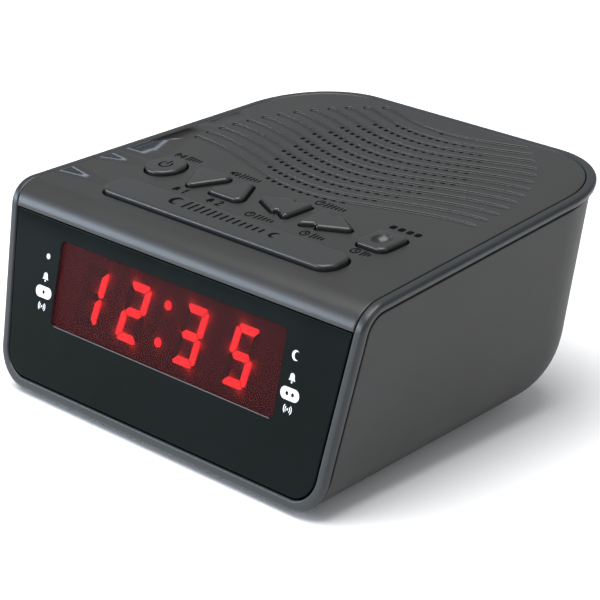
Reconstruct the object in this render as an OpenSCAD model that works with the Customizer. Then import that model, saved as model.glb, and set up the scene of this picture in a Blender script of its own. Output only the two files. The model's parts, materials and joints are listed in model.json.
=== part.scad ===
// Compact clock radio: red four-digit display, six top keys, snooze bar, speaker grille and battery back-up.
// The origin is the middle of the footprint, on the surface that the radio stands on. The front faces -Y.

/* [Body] */
// Width at its widest, across the front top edge
body_w = 130; // [126:1:134]
// Depth from the front bottom edge to the rear top edge
body_d = 111.7; // [110:0.1:114]
// Height of the top surface above the cabinet's base, at the front bottom edge
top_z = 49.1; // [48:0.1:50.5]
// Angle by which the front face leans back
front_lean = 12.2; // [11:0.1:13]
// Angle by which the top rises to the rear
top_rise = 5.3; // [4.8:0.1:5.8]
// Angle by which the rear face leans out
rear_lean = 11.5; // [10:0.1:13]
// How much wider each side gets per millimetre of height
side_flare = 0.135; // [0.12:0.005:0.15]
// How much narrower each side gets per millimetre of depth
side_taper = 0.0978; // [0.09:0.0002:0.105]
// Wall thickness of the cabinet
wall = 2.2; // [2:0.1:2.3]

/* [Body corners] */
// Radius of the bend between the front and the top
fall_r = 8; // [7:0.5:9]
// Radius of the two rear corners, seen from above
rear_r = 26; // [24:0.5:28]
// Radius of the rear bottom edge
heel_r = 19; // [18:0.5:20]
// Radius of the two front bottom corners
toe_r = 10.5; // [10:0.5:12]

/* [Rim, lens and top] */
// Width of the rim's bead round the lens and the top
rim_w = 2.9; // [2.6:0.1:3.2]
// Depth of the rim's bead, from its face to the parting line
rim_depth = 2.4; // [2.4:0.1:2.6]
// Gap between the rim and the lens
lens_gap = 0.4; // [0.4:0.1:0.8]
// Thickness of the front lens
lens_t = 2; // [1.8:0.1:2]
// Thickness of the top cover
cover_t = 2; // [1.8:0.1:2]
// Width of the display window
window_w = 83; // [81:0.5:84]
// Height of the display window
window_h = 22; // [21:0.2:22.4]
// Height of one digit
digit_h = 15.5; // [14.5:0.01:15.6]

/* [Grille] */
// Number of curved grooves
groove_count = 13; // [9:1:13]
// Spacing of the grooves
groove_pitch = 4.21; // [4:0.01:4.25]
// Width of a groove
groove_w = 1.9; // [1.7:0.1:2.1]
// Depth of a groove
groove_depth = 0.5; // [0.4:0.1:0.8]
// Diameter of a sound hole
hole_d = 1.4; // [1.2:0.1:1.5]
// Spacing of the sound holes along a groove
hole_pitch = 2.7; // [2.6:0.1:3]

/* [Keys] */
// How far the round, arrow and preset keys stand above the top
key_proud = 1.1; // [0.9:0.1:1.4]
// How far the snooze bar stands above the top
snooze_proud = 1.3; // [1.1:0.1:1.6]
// Gap between a key and its hole
key_gap = 0.5; // [0.4:0.05:0.6]
// Diameter of the power key
power_d = 10.6; // [10:0.1:11]

/* [Base] */
// Height of the rubber feet below the cabinet
foot_h = 1.5; // [1:0.1:2]
// Diameter of the rubber feet
foot_d = 10; // [8:0.5:10]

/* [Hidden] */
$fn = 48;

// Colours
charcoal = [0.2, 0.2, 0.2];
satin_black = [0.22, 0.24, 0.25];
side_grey = [0.27, 0.27, 0.27];
board_green = [0.12, 0.32, 0.18];
steel = [0.72, 0.73, 0.75];

// The bend between the front and the top: where the front face ends, and the bend's centre
bend_angle = 90 - front_lean - top_rise;
front_h = top_z * cos(top_rise) / cos(front_lean + top_rise) - fall_r * tan(bend_angle / 2);
fall_y = front_h * sin(front_lean) + fall_r * cos(front_lean);
fall_z = front_h * cos(front_lean) - fall_r * sin(front_lean);

// Half width of the body at depth y and height z, and of its front face at the distance v up that face
widest_y = (front_h + fall_r * tan(bend_angle / 2)) * sin(front_lean);
widest_z = (front_h + fall_r * tan(bend_angle / 2)) * cos(front_lean);
base_half_w = body_w / 2 - side_flare * widest_z + side_taper * widest_y;
function half_w(y, z) = base_half_w + side_flare * z - side_taper * y;
function front_half_w(v) = half_w(v * sin(front_lean), v * cos(front_lean));

// Centres of the rear corner discs, in the top's own plane, and of the rear bottom spheres
top_taper = side_taper - side_flare * tan(top_rise);
rear_cy = body_d - rear_r;
rear_cx = half_w(rear_cy, top_z + rear_cy * tan(top_rise)) - rear_r * sqrt(1 + top_taper * top_taper);
rear_top_z = top_z + body_d * tan(top_rise);
heel_y = body_d - (rear_top_z - heel_r) * tan(rear_lean) - heel_r / cos(rear_lean);
heel_x = half_w(heel_y, heel_r) - heel_r * sqrt(1 + side_flare * side_flare + side_taper * side_taper);

// Frames: the body's own, with its origin at the front bottom edge, the top's plane and the front's plane
module in_body() translate([0, -body_d / 2, foot_h]) children();
module on_top() in_body() translate([0, 0, top_z]) rotate([top_rise, 0, 0]) children();
module on_front() in_body() rotate([90 - front_lean, 0, 0]) children();
module along_x(length) rotate([90, 0, 90]) linear_extrude(height = length, center = true) children();

// ---- Shells -------------------------------------------------------------------------------

// The space between the two side faces moved in by t, above the height t
far = 140;
module between_sides(t)
    polyhedron(
        points = [for (y = [-10, far], z = [t, 80], s = [-1, 1]) [s * (half_w(y, z) - t), y, z]],
        faces = [[0, 2, 3, 1], [5, 7, 6, 4], [4, 6, 2, 0], [1, 3, 7, 5], [2, 6, 7, 3], [1, 5, 4, 0]]
    );

// The whole body's outer form, moved in by t
module body_form(t) {
    intersection() {
        hull() {
            for (s = [-1, 1]) {
                rotate([90 - front_lean, 0, 0])
                    translate([s * (front_half_w(toe_r) - toe_r), toe_r, -t - 1])
                        cylinder(r = toe_r - t, h = 1, $fn = 32);
                translate([0, 0, top_z])
                    rotate([top_rise, 0, 0])
                        translate([s * rear_cx, rear_cy / cos(top_rise), -t - 1])
                            cylinder(r = rear_r - t, h = 1, $fn = 64);
                translate([s * heel_x, heel_y, heel_r])
                    sphere(r = heel_r - t, $fn = 32);
            }
            translate([0, fall_y, fall_z])
                rotate([0, 90, 0])
                    cylinder(r = fall_r - t, h = body_w + 4, center = true, $fn = 64);
        }
        between_sides(t);
    }
}

// Side profile of the front, the bend and the top at the depth d below their surface, from bottom to rear
bend_steps = 16;
function skin_line(d) = [
    [-20 * sin(front_lean) + d * cos(front_lean), -20 * cos(front_lean) - d * sin(front_lean)],
    for (i = [0 : bend_steps])
        let (angle = 180 - front_lean - i * bend_angle / bend_steps)
            [fall_y + (fall_r - d) * cos(angle), fall_z + (fall_r - d) * sin(angle)],
    [far * cos(top_rise) + d * sin(top_rise), top_z + far * sin(top_rise) - d * cos(top_rise)]
];
function reversed(list) = [for (i = [len(list) - 1 : -1 : 0]) list[i]];
module skin(d_from, d_to, length = 150)
    along_x(length) polygon(concat(skin_line(d_from), reversed(skin_line(d_to))));

// Outline of the top seen from above, moved in by t, with its two round rear corners
corner_steps = 14;
module top_outline(t) {
    corner = [
        for (i = [0 : corner_steps])
            let (turn = atan(top_taper) + i * (90 - atan(top_taper)) / corner_steps)
                [rear_cx + (rear_r - t) * cos(turn), rear_cy + (rear_r - t) * sin(turn)]
    ];
    right = concat([[half_w(0, top_z) - t + 2, -10]], [[half_w(0, top_z) - t, 0]], corner);
    polygon(concat(right, [for (p = reversed(right)) [-p[0], p[1]]]));
}

// Outline of the front opening in the front's plane, moved in by t, open at the top
module front_outline(t, top_v) {
    r = toe_r - t;
    cx = front_half_w(toe_r) - toe_r;
    slope = atan(front_half_w(1) - front_half_w(0));
    right = concat(
        [for (i = [0 : corner_steps])
            let (turn = -90 + i * (90 - slope) / corner_steps) [cx + r * cos(turn), toe_r + r * sin(turn)]],
        [[front_half_w(top_v) - t, top_v]]
    );
    polygon(concat(right, [for (p = reversed(right)) [-p[0], p[1]]]));
}

// Places shared by the shells and what is fixed to them, in the body's frame
post_front = [50, 24];
post_rear = [36, 88];
board_post = [31.5, 23, 55];
board_z = 17.5;
post_r = 4.2;
screw_r = 1.5;
post_split_z = 27;
foot_places = [[36, 16], [28, 76]];
bay_x = 27;
bay_y = [26, 52];
bay_top = 14.7;
bay_wall = 2.3;
floor_t = 2;
door_gap = 0.3;
door_x = 28.2;
door_y = [24.8, 53.2];
vent_pitch = 3.6;
vent_w = 1.8;
vent_y = 60;
vent_len = 16;
gland_x = 24;
gland_z = 26;
gland_r = 4.5;
rod_at = [-6, 96.3, 30];
clip_x = 14;
clip_z = rod_at[2] - 9;
trafo_x = -22;
trafo_y = 71;
trafo_z = 7;
rear_y_at_gland = body_d - (rear_top_z - gland_z) * tan(rear_lean);
module at_gland() translate([gland_x, rear_y_at_gland, gland_z]) rotate([-90 + -rear_lean, 0, 0]) children();
module at_clips() for (s = [-1, 1]) translate([rod_at[0] + s * clip_x, rod_at[1], 0]) children();
module corners_at(p) for (s = [-1, 1]) translate([s * p[0], p[1], 0]) children();

module cabinet() {
    color(side_grey) in_body() difference() {
        body_form(0);
        difference() {
            body_form(wall);
            cabinet_posts();
        }
        skin(-8, rim_depth);
        battery_cavity();
        for (p = [post_front, post_rear])
            corners_at(p) {
                translate([0, 0, -1]) cylinder(r = screw_r + 0.2, h = 30);
                translate([0, 0, -1]) cylinder(r = 3.2, h = 12);
            }
        for (y = [board_post[1], board_post[2]])
            corners_at([board_post[0], y]) translate([0, 0, board_z - 8]) cylinder(r = 1, h = 9);
        for (p = foot_places)
            corners_at(p) translate([0, 0, -1]) cylinder(d = foot_d + 0.4, h = 1.4);
        at_gland() translate([0, 0, -8]) cylinder(r = gland_r + 0.1, h = 16);
        for (i = [-3 : 3])
            translate([i * vent_pitch - vent_w / 2, vent_y, -1]) cube([vent_w, vent_len, wall + 2]);
    }
}

// Posts and bay walls that stand on the cabinet's floor
module cabinet_posts() {
    for (p = [post_front, post_rear])
        corners_at(p) cylinder(r = post_r, h = post_split_z);
    for (y = [board_post[1], board_post[2]])
        corners_at([board_post[0], y]) cylinder(r = 3, h = board_z);
    at_clips() translate([-3, -3, 0]) cube([6, 6, clip_z]);
    for (s = [-1, 1])
        translate([trafo_x + s * 19, trafo_y, 0]) cylinder(r = 3, h = trafo_z);
    translate([-bay_x - bay_wall, bay_y[0] - bay_wall, 0])
        cube([2 * (bay_x + bay_wall), bay_y[1] - bay_y[0] + 2 * bay_wall, bay_top + 1.5]);
}

// Room for the cells, with the door's own opening in the floor below it
module battery_cavity() {
    translate([-bay_x, bay_y[0], 1])
        cube([2 * bay_x, bay_y[1] - bay_y[0], bay_top - 1]);
    translate([-door_x - door_gap, door_y[0] - door_gap, -1])
        cube([2 * (door_x + door_gap), door_y[1] - door_y[0] + 2 * door_gap, 1 + floor_t + 0.15]);
    for (s = [-1, 1])
        translate([s * 16 - 4.5, door_y[0] - 3, floor_t])
            cube([9, 5, 2]);
}

// The rim's bead, with a tongue behind it that sits inside the cabinet's edge
tongue_gap = 0.15;
tongue_t = 1;
module rim_frame() {
    color(satin_black) in_body() {
        difference() {
            intersection() {
                body_form(0);
                skin(-1, rim_depth);
            }
            rim_openings(rim_w);
        }
        intersection() {
            difference() {
                body_form(wall + tongue_gap);
                body_form(wall + tongue_gap + tongue_t);
            }
            difference() {
                skin(rim_depth - 0.15, rim_depth + 4.8);
                rim_openings(wall + tongue_gap + tongue_t);
            }
        }
    }
}

// Front opening for the lens and top opening for the cover, moved in by t from the body's outer form
module rim_openings(t) {
    rotate([90 - front_lean, 0, 0])
        translate([0, 0, -10])
            linear_extrude(height = 20) front_outline(t, front_h + 1);
    intersection() {
        translate([0, 0, fall_z]) linear_extrude(height = 40) top_outline(t);
        between_sides(t);
    }
}

module top_cover() {
    color(charcoal) {
        difference() {
            in_body() intersection() {
                skin(0, cover_t);
                between_sides(rim_w + 0.1);
                translate([0, 0, 30]) linear_extrude(height = 50) top_outline(rim_w + 0.1);
                rotate([90 - front_lean, 0, 0])
                    translate([-80, front_h + 0.05, -150]) cube([160, 160, 160]);
            }
            on_top() key_holes();
            on_top() grille_cuts();
        }
        on_top() {
            key_guides();
            speaker_bosses();
        }
        in_body() cover_posts();
    }
}

// Posts that meet the cabinet's posts, each with a pilot hole for its screw
module cover_posts() {
    for (p = [post_front, post_rear])
        corners_at(p) difference() {
            translate([0, 0, post_split_z])
                cylinder(r = post_r, h = top_z + p[1] * tan(top_rise) - cover_t / 2 - 0.6 - post_split_z);
            translate([0, 0, post_split_z - 1]) cylinder(r = screw_r - 0.2, h = 12);
        }
}

// ---- Grille -------------------------------------------------------------------------------

// Groove k runs along a raised cosine, lowest at the middle, and ends on a circle. All in the top's plane.
groove_first = 51.2;
groove_swing = 9.84;
groove_span = 51;
groove_circle_y = 63.2;
groove_circle_r = 50.9;
function groove_y(k, x) =
    groove_first + k * groove_pitch + groove_swing * (1 - cos(180 * x / groove_span)) / 2;
// Half the chord of a circle at a height from its centre, nothing outside it
function half_chord(r, height) = sqrt(max(0, r * r - height * height));
function groove_end(k, x = 40, tries = 12) =
    tries == 0 ? x : groove_end(k, half_chord(groove_circle_r, groove_y(k, x) - groove_circle_y), tries - 1);
groove_steps = 20;
module groove(k) {
    end = groove_end(k) - groove_w / 2;
    side = [
        for (i = [0 : groove_steps])
            let (x = -end + 2 * end * i / groove_steps, rise = groove_y(k, x + 0.5) - groove_y(k, x - 0.5))
                [x, groove_y(k, x), rise]
    ];
    upper = [for (p = side) [p[0] - p[2] * groove_w / 2, p[1] + groove_w / 2]];
    lower = [for (p = side) [p[0] + p[2] * groove_w / 2, p[1] - groove_w / 2]];
    translate([0, 0, -groove_depth]) linear_extrude(height = 2) polygon(concat(lower, reversed(upper)));
}

// Sound holes stand on the grooves, inside the speaker's circle
speaker_y = 76.1;
speaker_hole_r = 27.4;
speaker_hole_shift = 2;
function holes_each_side(k) =
    floor(half_chord(speaker_hole_r, groove_y(k, 0) - speaker_y + speaker_hole_shift) / hole_pitch);
module grille_cuts() {
    for (k = [0 : groove_count - 1]) {
        groove(k);
        n = holes_each_side(k);
        for (i = [-n : n])
            translate([i * hole_pitch, groove_y(k, i * hole_pitch), -cover_t - 1])
                cylinder(d = hole_d, h = cover_t + 2);
    }
}

// ---- Keys ---------------------------------------------------------------------------------

// Centres of the keys in the top's plane
power_at = [-39, 40.9];
volume_down_at = [-24.4, 41.8];
volume_up_at = [-11.9, 40];
tuning_down_at = [4.6, 41.3];
tuning_up_at = [21.8, 40.7];
preset_at = [39.8, 40.3];
snooze_at = [0.9, 24.4];
SMALL_KEYS = [power_at, volume_down_at, volume_up_at, tuning_down_at, tuning_up_at, preset_at];
snooze_size = [83, 9.4];

// Depths below the top surface
flange_top = cover_t + 0.1;
flange_t = 0.9;
stem_end = 6;
plunger_end = 7.6;
switch_top = 7;
switch_h = 3.4;
board_top = switch_top + switch_h;

module triangle_key(dir, grow) {
    r = 1.6 + grow;
    hull() {
        translate([0, -dir * 4.4]) circle(r = r, $fn = 32);
        for (s = [-1, 1]) translate([s * 4.1, dir * 2.4]) circle(r = r, $fn = 32);
    }
}

// Two solid arrow heads that overlap, pointing to dir, grown by grow with round corners
arrow_corners = [
    [6.6, -0.3], [-0.4, -3.3], [-0.6, -1.6], [-5.2, -4.1], [-5.6, 3.4], [-0.2, 1.2], [-0.1, 3.1]
];
module double_arrow_key(dir, grow)
    offset(r = 0.8 + grow, $fn = 32) polygon([for (p = arrow_corners) [dir * p[0], p[1]]]);

module rounded_box_2d(size, r, grow)
    hull()
        for (sx = [-1, 1], sy = [-1, 1])
            translate([sx * (size[0] / 2 - r), sy * (size[1] / 2 - r)]) circle(r = r + grow, $fn = 32);

module power_2d(grow) circle(d = power_d + 2 * grow);
module volume_down_2d(grow) triangle_key(1, grow);
module volume_up_2d(grow) triangle_key(-1, grow);
module tuning_down_2d(grow) double_arrow_key(-1, grow);
module tuning_up_2d(grow) double_arrow_key(1, grow);
module preset_2d(grow) rounded_box_2d([9.6, 9.4], 2, grow);
module snooze_2d(grow) rounded_box_2d(snooze_size, 4, grow);

module key_holes() {
    translate([0, 0, -cover_t - 1]) linear_extrude(height = cover_t + 4) {
        translate(power_at) power_2d(key_gap);
        translate(volume_down_at) volume_down_2d(key_gap);
        translate(volume_up_at) volume_up_2d(key_gap);
        translate(tuning_down_at) tuning_down_2d(key_gap);
        translate(tuning_up_at) tuning_up_2d(key_gap);
        translate(preset_at) preset_2d(key_gap);
        translate(snooze_at) snooze_2d(key_gap);
    }
}

// Pegs under the cover that carry the key board
key_board_pegs = [[-32, 34.5], [32, 34.5], [-6, 45.5], [13.4, 47.6]];
module key_guides() {
    for (p = key_board_pegs)
        translate([p[0], p[1], -board_top]) difference() {
            cylinder(r = 2, h = board_top - cover_t / 2);
            translate([0, 0, -1]) cylinder(r = 0.8, h = 7);
        }
}

// A key: its cap through the cover's hole, a flange below the cover and a stem down to the plunger
module key_stem() {
    translate([0, 0, -stem_end]) cylinder(r = 2, h = stem_end - flange_top);
}
module key_skirt() translate([0, 0, -flange_top - flange_t]) linear_extrude(height = flange_t) children();
module key_cap(proud) translate([0, 0, -flange_top]) linear_extrude(height = flange_top + proud) children();
module plunger(at) {
    color([0.85, 0.85, 0.8]) on_top() translate([at[0], at[1], -plunger_end])
        cylinder(r = 1.7, h = plunger_end - stem_end);
}

module snooze_bar() {
    color(charcoal) on_top() translate(snooze_at) {
        key_cap(snooze_proud) snooze_2d(0);
        key_skirt() snooze_2d(1.3);
        key_stem();
    }
}
module power_button() {
    color(charcoal) on_top() translate(power_at) {
        difference() {
            translate([0, 0, -flange_top]) cylinder(d = power_d, h = flange_top + key_proud);
            translate([0, 0, key_proud - 0.3]) difference() {
                cylinder(r = 2.6, h = 1);
                translate([0, 0, -1]) cylinder(r = 2.1, h = 3);
            }
        }
        translate([0, 0, -flange_top - flange_t]) cylinder(d = power_d + 2.6, h = flange_t);
        key_stem();
    }
}
module volume_down_button() {
    color(charcoal) on_top() translate(volume_down_at) {
        key_cap(key_proud) volume_down_2d(0);
        key_skirt() volume_down_2d(1.3);
        key_stem();
    }
}
module volume_up_button() {
    color(charcoal) on_top() translate(volume_up_at) {
        key_cap(key_proud) volume_up_2d(0);
        key_skirt() volume_up_2d(1.3);
        key_stem();
    }
}
module tuning_down_button() {
    color(charcoal) on_top() translate(tuning_down_at) {
        key_cap(key_proud) tuning_down_2d(0);
        key_skirt() tuning_down_2d(1.1);
        key_stem();
    }
}
module tuning_up_button() {
    color(charcoal) on_top() translate(tuning_up_at) {
        key_cap(key_proud) tuning_up_2d(0);
        key_skirt() tuning_up_2d(1.1);
        key_stem();
    }
}
module preset_button() {
    color(charcoal) on_top() translate(preset_at) {
        difference() {
            key_cap(key_proud) preset_2d(0);
            translate([0, 0, key_proud + 3.2]) sphere(r = 4);
        }
        key_skirt() preset_2d(1.3);
        key_stem();
    }
}
module snooze_plunger() plunger(snooze_at);
module power_plunger() plunger(power_at);
module volume_down_plunger() plunger(volume_down_at);
module volume_up_plunger() plunger(volume_up_at);
module tuning_down_plunger() plunger(tuning_down_at);
module tuning_up_plunger() plunger(tuning_up_at);
module preset_plunger() plunger(preset_at);

module tact_switches() {
    color([0.15, 0.15, 0.16]) on_top()
        for (at = concat(SMALL_KEYS, [snooze_at]))
            translate([at[0], at[1], -board_top]) difference() {
                translate([-3, -3, 0]) cube([6, 6, switch_h]);
                translate([0, 0, 0.8]) cylinder(r = 1.8, h = switch_h);
            }
}

key_board_t = 1.2;
module key_board() {
    color(board_green) on_top() translate([0, 0, -board_top - key_board_t]) difference() {
        union() {
            translate([-46, 31, 0]) cube([92, 19, key_board_t]);
            translate([-9, 20.6, 0]) cube([18, 12, key_board_t]);
        }
        for (p = key_board_pegs) translate([p[0], p[1], -1]) cylinder(r = 1.2, h = 4);
    }
}
module key_board_screws() {
    color(steel) on_top()
        for (p = key_board_pegs) translate([p[0], p[1], -board_top - key_board_t]) {
            translate([0, 0, -1.4]) cylinder(r = 2, h = 1.4);
            cylinder(r = 0.8, h = 6);
        }
}

// ---- Display ------------------------------------------------------------------------------

window_at = [-0.6, 30.05];
lens_inset = 0.15;
window_gap = 0.05;
window_t = 0.9;
digit_x = [-28, -11.7, 9.3, 27.4];
digit_offset = [-0.7, -0.1];
digit_slant = 11.5;
segment_w = 2.1;
digit_w = 8.4;
segment_t = 0.5;
segments_z = -lens_inset - window_t - 0.15;

module front_lens() {
    color([0.03, 0.04, 0.045]) on_front() difference() {
        translate([0, 0, -lens_inset - lens_t]) linear_extrude(height = lens_t)
            front_outline(rim_w + lens_gap, front_h - 0.05);
        translate([window_at[0], window_at[1], -5]) linear_extrude(height = 8)
            rounded_box_2d([window_w, window_h], 1.5, 0);
    }
}
module display_window() {
    color([0.4, 0.03, 0.04, 0.6]) on_front()
        translate([window_at[0], window_at[1], -lens_inset - window_t])
            linear_extrude(height = window_t - 0.1)
                rounded_box_2d([window_w - 2 * window_gap, window_h - 2 * window_gap], 1.5, 0);
}

// One segment is a bar with pointed ends, of the given length
module segment(length) {
    w = segment_w / 2;
    h = length / 2;
    polygon([[-h, 0], [-h + w, w], [h - w, w], [h, 0], [h - w, -w], [-h + w, -w]]);
}
// Seven bars that stop short of each other
segment_gap = 0.35;
module digit_segments() {
    span = digit_h - segment_w;
    across = digit_w - segment_w;
    for (v = [-span / 2, 0, span / 2])
        translate([v * tan(digit_slant), v]) segment(across - 2 * segment_gap);
    for (sx = [-1, 1], sy = [-1, 1])
        translate([sx * across / 2 + sy * span / 4 * tan(digit_slant), sy * span / 4])
            rotate(90 - digit_slant) segment(span / 2 / cos(digit_slant) - 2 * segment_gap);
}
colon_at = [[0.15, 5.1], [-1.55, -4.6]];
module display_segments() {
    color([1, 0.1, 0.08]) on_front()
        translate([window_at[0] + digit_offset[0], window_at[1] + digit_offset[1], segments_z - segment_t]) {
            linear_extrude(height = segment_t)
                for (x = digit_x) translate([x, 0]) digit_segments();
            for (p = colon_at) translate([p[0], p[1], 0]) cylinder(r = 1, h = segment_t);
        }
}
module display_housing() {
    color([0.12, 0.1, 0.1]) on_front()
        translate([window_at[0] - 39, window_at[1] - 10.4, segments_z - segment_t - 7])
            cube([78, 20.8, 7]);
}
display_board_t = 1.2;
display_back = segments_z - segment_t - 7;
module display_board() {
    color(board_green) on_front()
        translate([window_at[0] - 45, window_at[1] - 16, display_back - display_board_t])
            cube([90, 27.6, display_board_t]);
}

// ---- Boards and their parts ---------------------------------------------------------------

main_board_t = 1.6;
main_board_x = 36;
main_board_y = [18.5, 58];
part_z = board_z + main_board_t;
module main_board() {
    color(board_green) in_body() difference() {
        translate([-main_board_x, main_board_y[0], board_z])
            cube([2 * main_board_x, main_board_y[1] - main_board_y[0], main_board_t]);
        for (y = [board_post[1], board_post[2]])
            corners_at([board_post[0], y]) translate([0, 0, board_z - 1]) cylinder(r = 1.4, h = 4);
    }
}
module main_board_screws() {
    color(steel) in_body()
        for (y = [board_post[1], board_post[2]])
            corners_at([board_post[0], y]) {
                translate([0, 0, part_z]) cylinder(r = 2.6, h = 1.6);
                translate([0, 0, part_z - 8]) cylinder(r = 1, h = 8);
            }
}
module chip(at, size, pins) {
    translate([at[0] - size[0] / 2, at[1] - size[1] / 2, part_z + 0.6]) cube([size[0], size[1], 2.4]);
    first_x = at[0] - size[0] / 2 + 0.8;
    pin_pitch = (size[0] - 2) / (pins - 1);
    for (s = [-1, 1], i = [0 : pins - 1])
        translate([first_x + i * pin_pitch, at[1] + s * (size[1] / 2 + 0.5) - 0.5, part_z])
            cube([0.4, 1, 1.4]);
}
module clock_chip() color([0.1, 0.1, 0.1]) in_body() chip([-12, 33], [26, 9], 14);
module radio_chip() color([0.1, 0.1, 0.1]) in_body() chip([16, 46], [15, 7], 10);
module capacitors() {
    color([0.15, 0.2, 0.4]) in_body() {
        for (p = [[24, 30, 4, 11], [14, 29, 3.2, 9], [-24, 50, 3.2, 9], [-15, 50, 2.5, 7], [-6, 51, 2.5, 7]])
            translate([p[0], p[1], part_z]) cylinder(r = p[2], h = p[3]);
    }
}

// A flat cable: a strip that follows points seen from the side, of the given width
cable_t = 0.6;
function side_way(points, i) = points[min(i + 1, len(points) - 1)] - points[max(i - 1, 0)];
function beside(points) = [
    for (i = [0 : len(points) - 1])
        let (way = side_way(points, i)) points[i] + cable_t * [-way[1], way[0]] / norm(way)
];
module strip_cable(points, width, at_x)
    translate([at_x, 0, 0]) along_x(width) polygon(concat(points, reversed(beside(points))));
module display_ribbon() {
    color([0.6, 0.6, 0.62]) in_body()
        strip_cable(
            [[13.65, 15.5], [15, 15.6], [16.4, 17.2], [17.2, 19.2], [18.6, 19.9], [21, 19.15]],
            16, -6
        );
}
module key_ribbon() {
    color([0.6, 0.6, 0.62]) in_body()
        strip_cable([[55, part_z + 0.1], [56, 22], [55.6, 30], [52, 38], [48.5, 41.6]], 12, 3);
}

// ---- Speaker ------------------------------------------------------------------------------

speaker_r = 28.5;
speaker_top = cover_t + 0.2;
module at_speaker() on_top() translate([0, speaker_y, -speaker_top]) children();
module speaker_basket() {
    color(steel) at_speaker() rotate_extrude($fn = 96) polygon([
        [speaker_r, 0], [speaker_r, -1.2], [25, -1.2], [17.5, -11.5], [8, -11.5],
        [8, -10.7], [17, -10.7], [24.4, -0.6], [25.6, 0]
    ]);
}
module speaker_cone() {
    color([0.12, 0.12, 0.12]) at_speaker() {
        rotate_extrude($fn = 96) polygon([
            [24, -0.3], [24, -0.8], [22.6, -1.5], [21.5, -2], [7, -8.6],
            [7, -8.1], [21.6, -1.5], [22.8, -0.9], [23.4, -0.3]
        ]);
        translate([0, 0, -8.9]) intersection() {
            translate([0, 0, -4.5]) sphere(r = 8.5);
            cylinder(r = 7.2, h = 10);
        }
    }
}
module speaker_magnet() {
    color([0.25, 0.25, 0.27]) at_speaker() {
        translate([0, 0, -13]) cylinder(r = 15, h = 1.5);
        translate([0, 0, -19]) cylinder(r = 16, h = 6);
        translate([0, 0, -21]) cylinder(r = 15, h = 2);
    }
}
screw_circle_r = 32;
module around_speaker()
    for (turn = [45 : 90 : 315]) rotate(turn) translate([screw_circle_r, 0, 0]) children();
module speaker_bosses() {
    translate([0, speaker_y, 0]) around_speaker() translate([0, 0, -cover_t - 1.4]) difference() {
        cylinder(r = 2.8, h = 1.9);
        translate([0, 0, -1]) cylinder(r = 1.1, h = 4);
    }
}
module speaker_screws() {
    color(steel) on_top() translate([0, speaker_y, 0]) around_speaker() {
        translate([0, 0, -cover_t - 3]) cylinder(r = 4.2, h = 1.6);
        translate([0, 0, -cover_t - 1.4]) cylinder(r = 1.1, h = 1.4);
    }
}

// ---- Transformer and aerial ---------------------------------------------------------------

core_w = 30;
core_h = 22;
core_t = 12;
strap_t = 0.8;
module transformer_core() {
    color([0.35, 0.35, 0.37]) in_body() translate([trafo_x, trafo_y, trafo_z]) {
        difference() {
            translate([-core_w / 2, -core_t / 2, strap_t]) cube([core_w, core_t, core_h]);
            for (s = [-1, 1])
                translate([s * 7.5 - 2.5, -core_t, strap_t + 5]) cube([5, 2 * core_t, core_h - 10]);
        }
        difference() {
            translate([-23, -4, 0]) cube([46, 8, strap_t]);
            for (s = [-1, 1]) translate([s * 19, 0, -1]) cylinder(r = 1.7, h = 3);
        }
    }
}
module transformer_coil() {
    color([0.75, 0.6, 0.2]) in_body() translate([trafo_x, trafo_y, trafo_z + strap_t + 5]) difference() {
        translate([-9.8, -10.5, 0.2]) cube([19.6, 21, core_h - 10.4]);
        translate([-5.1, -6.1, -1]) cube([10.2, 12.2, core_h]);
    }
}
module transformer_screws() {
    color(steel) in_body()
        for (s = [-1, 1]) translate([trafo_x + s * 19, trafo_y, trafo_z + strap_t]) {
            cylinder(r = 3, h = 1.8);
        }
}
rod_r = 4;
rod_len = 48;
module ferrite_rod() {
    color([0.18, 0.18, 0.19]) in_body() translate(rod_at) rotate([0, 90, 0])
        cylinder(r = rod_r, h = rod_len, center = true);
}
module antenna_coil() {
    color([0.7, 0.35, 0.2]) in_body() translate(rod_at) rotate([0, 90, 0]) difference() {
        cylinder(r = rod_r + 1, h = 16, center = true);
        cylinder(r = rod_r + 0.05, h = 20, center = true);
    }
}
module antenna_clips() {
    color([0.85, 0.85, 0.85]) in_body() at_clips() difference() {
        translate([-2.5, -5, clip_z]) cube([5, 10, 13]);
        translate([0, 0, rod_at[2]]) rotate([0, 90, 0]) cylinder(r = rod_r + 0.05, h = 10, center = true);
        translate([-5, -3.4, rod_at[2]]) cube([10, 6.8, 10]);
    }
}

// ---- Battery back-up ----------------------------------------------------------------------

cell_y = [32.8, 45.2];
cell_z = 8.6;
plate_t = 0.4;
spring_turns = 3;
spring_steps = 14;
wire_r = 0.35;
spring_len = 3.4;
spring_r = 3.6;
spring_taper = 1.6;
// One ring of the spring's wire, square to its path
function spring_ring(i) =
    let (turn = 360 * i / spring_steps, share = i / (spring_turns * spring_steps))
        [for (j = [0 : 7])
            let (a = j * 45, out = spring_r - spring_taper * share + wire_r * cos(a))
                [wire_r * sin(a) + wire_r + spring_len * share, out * cos(turn), out * sin(turn)]];
module cone_spring() {
    rings = spring_turns * spring_steps;
    polyhedron(
        points = [for (i = [0 : rings]) each spring_ring(i)],
        faces = concat(
            [[for (j = [0 : 7]) j]],
            [for (i = [0 : rings - 1], j = [0 : 7])
                [i * 8 + j, (i + 1) * 8 + j, (i + 1) * 8 + (j + 1) % 8, i * 8 + (j + 1) % 8]],
            [[for (j = [7 : -1 : 0]) rings * 8 + j]]
        )
    );
}
module battery_springs() {
    color(steel) in_body()
        for (i = [0, 1])
            translate([(i == 0 ? -1 : 1) * (bay_x - plate_t), cell_y[i], cell_z])
                rotate([0, 0, i == 0 ? 0 : 180]) cone_spring();
}
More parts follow.
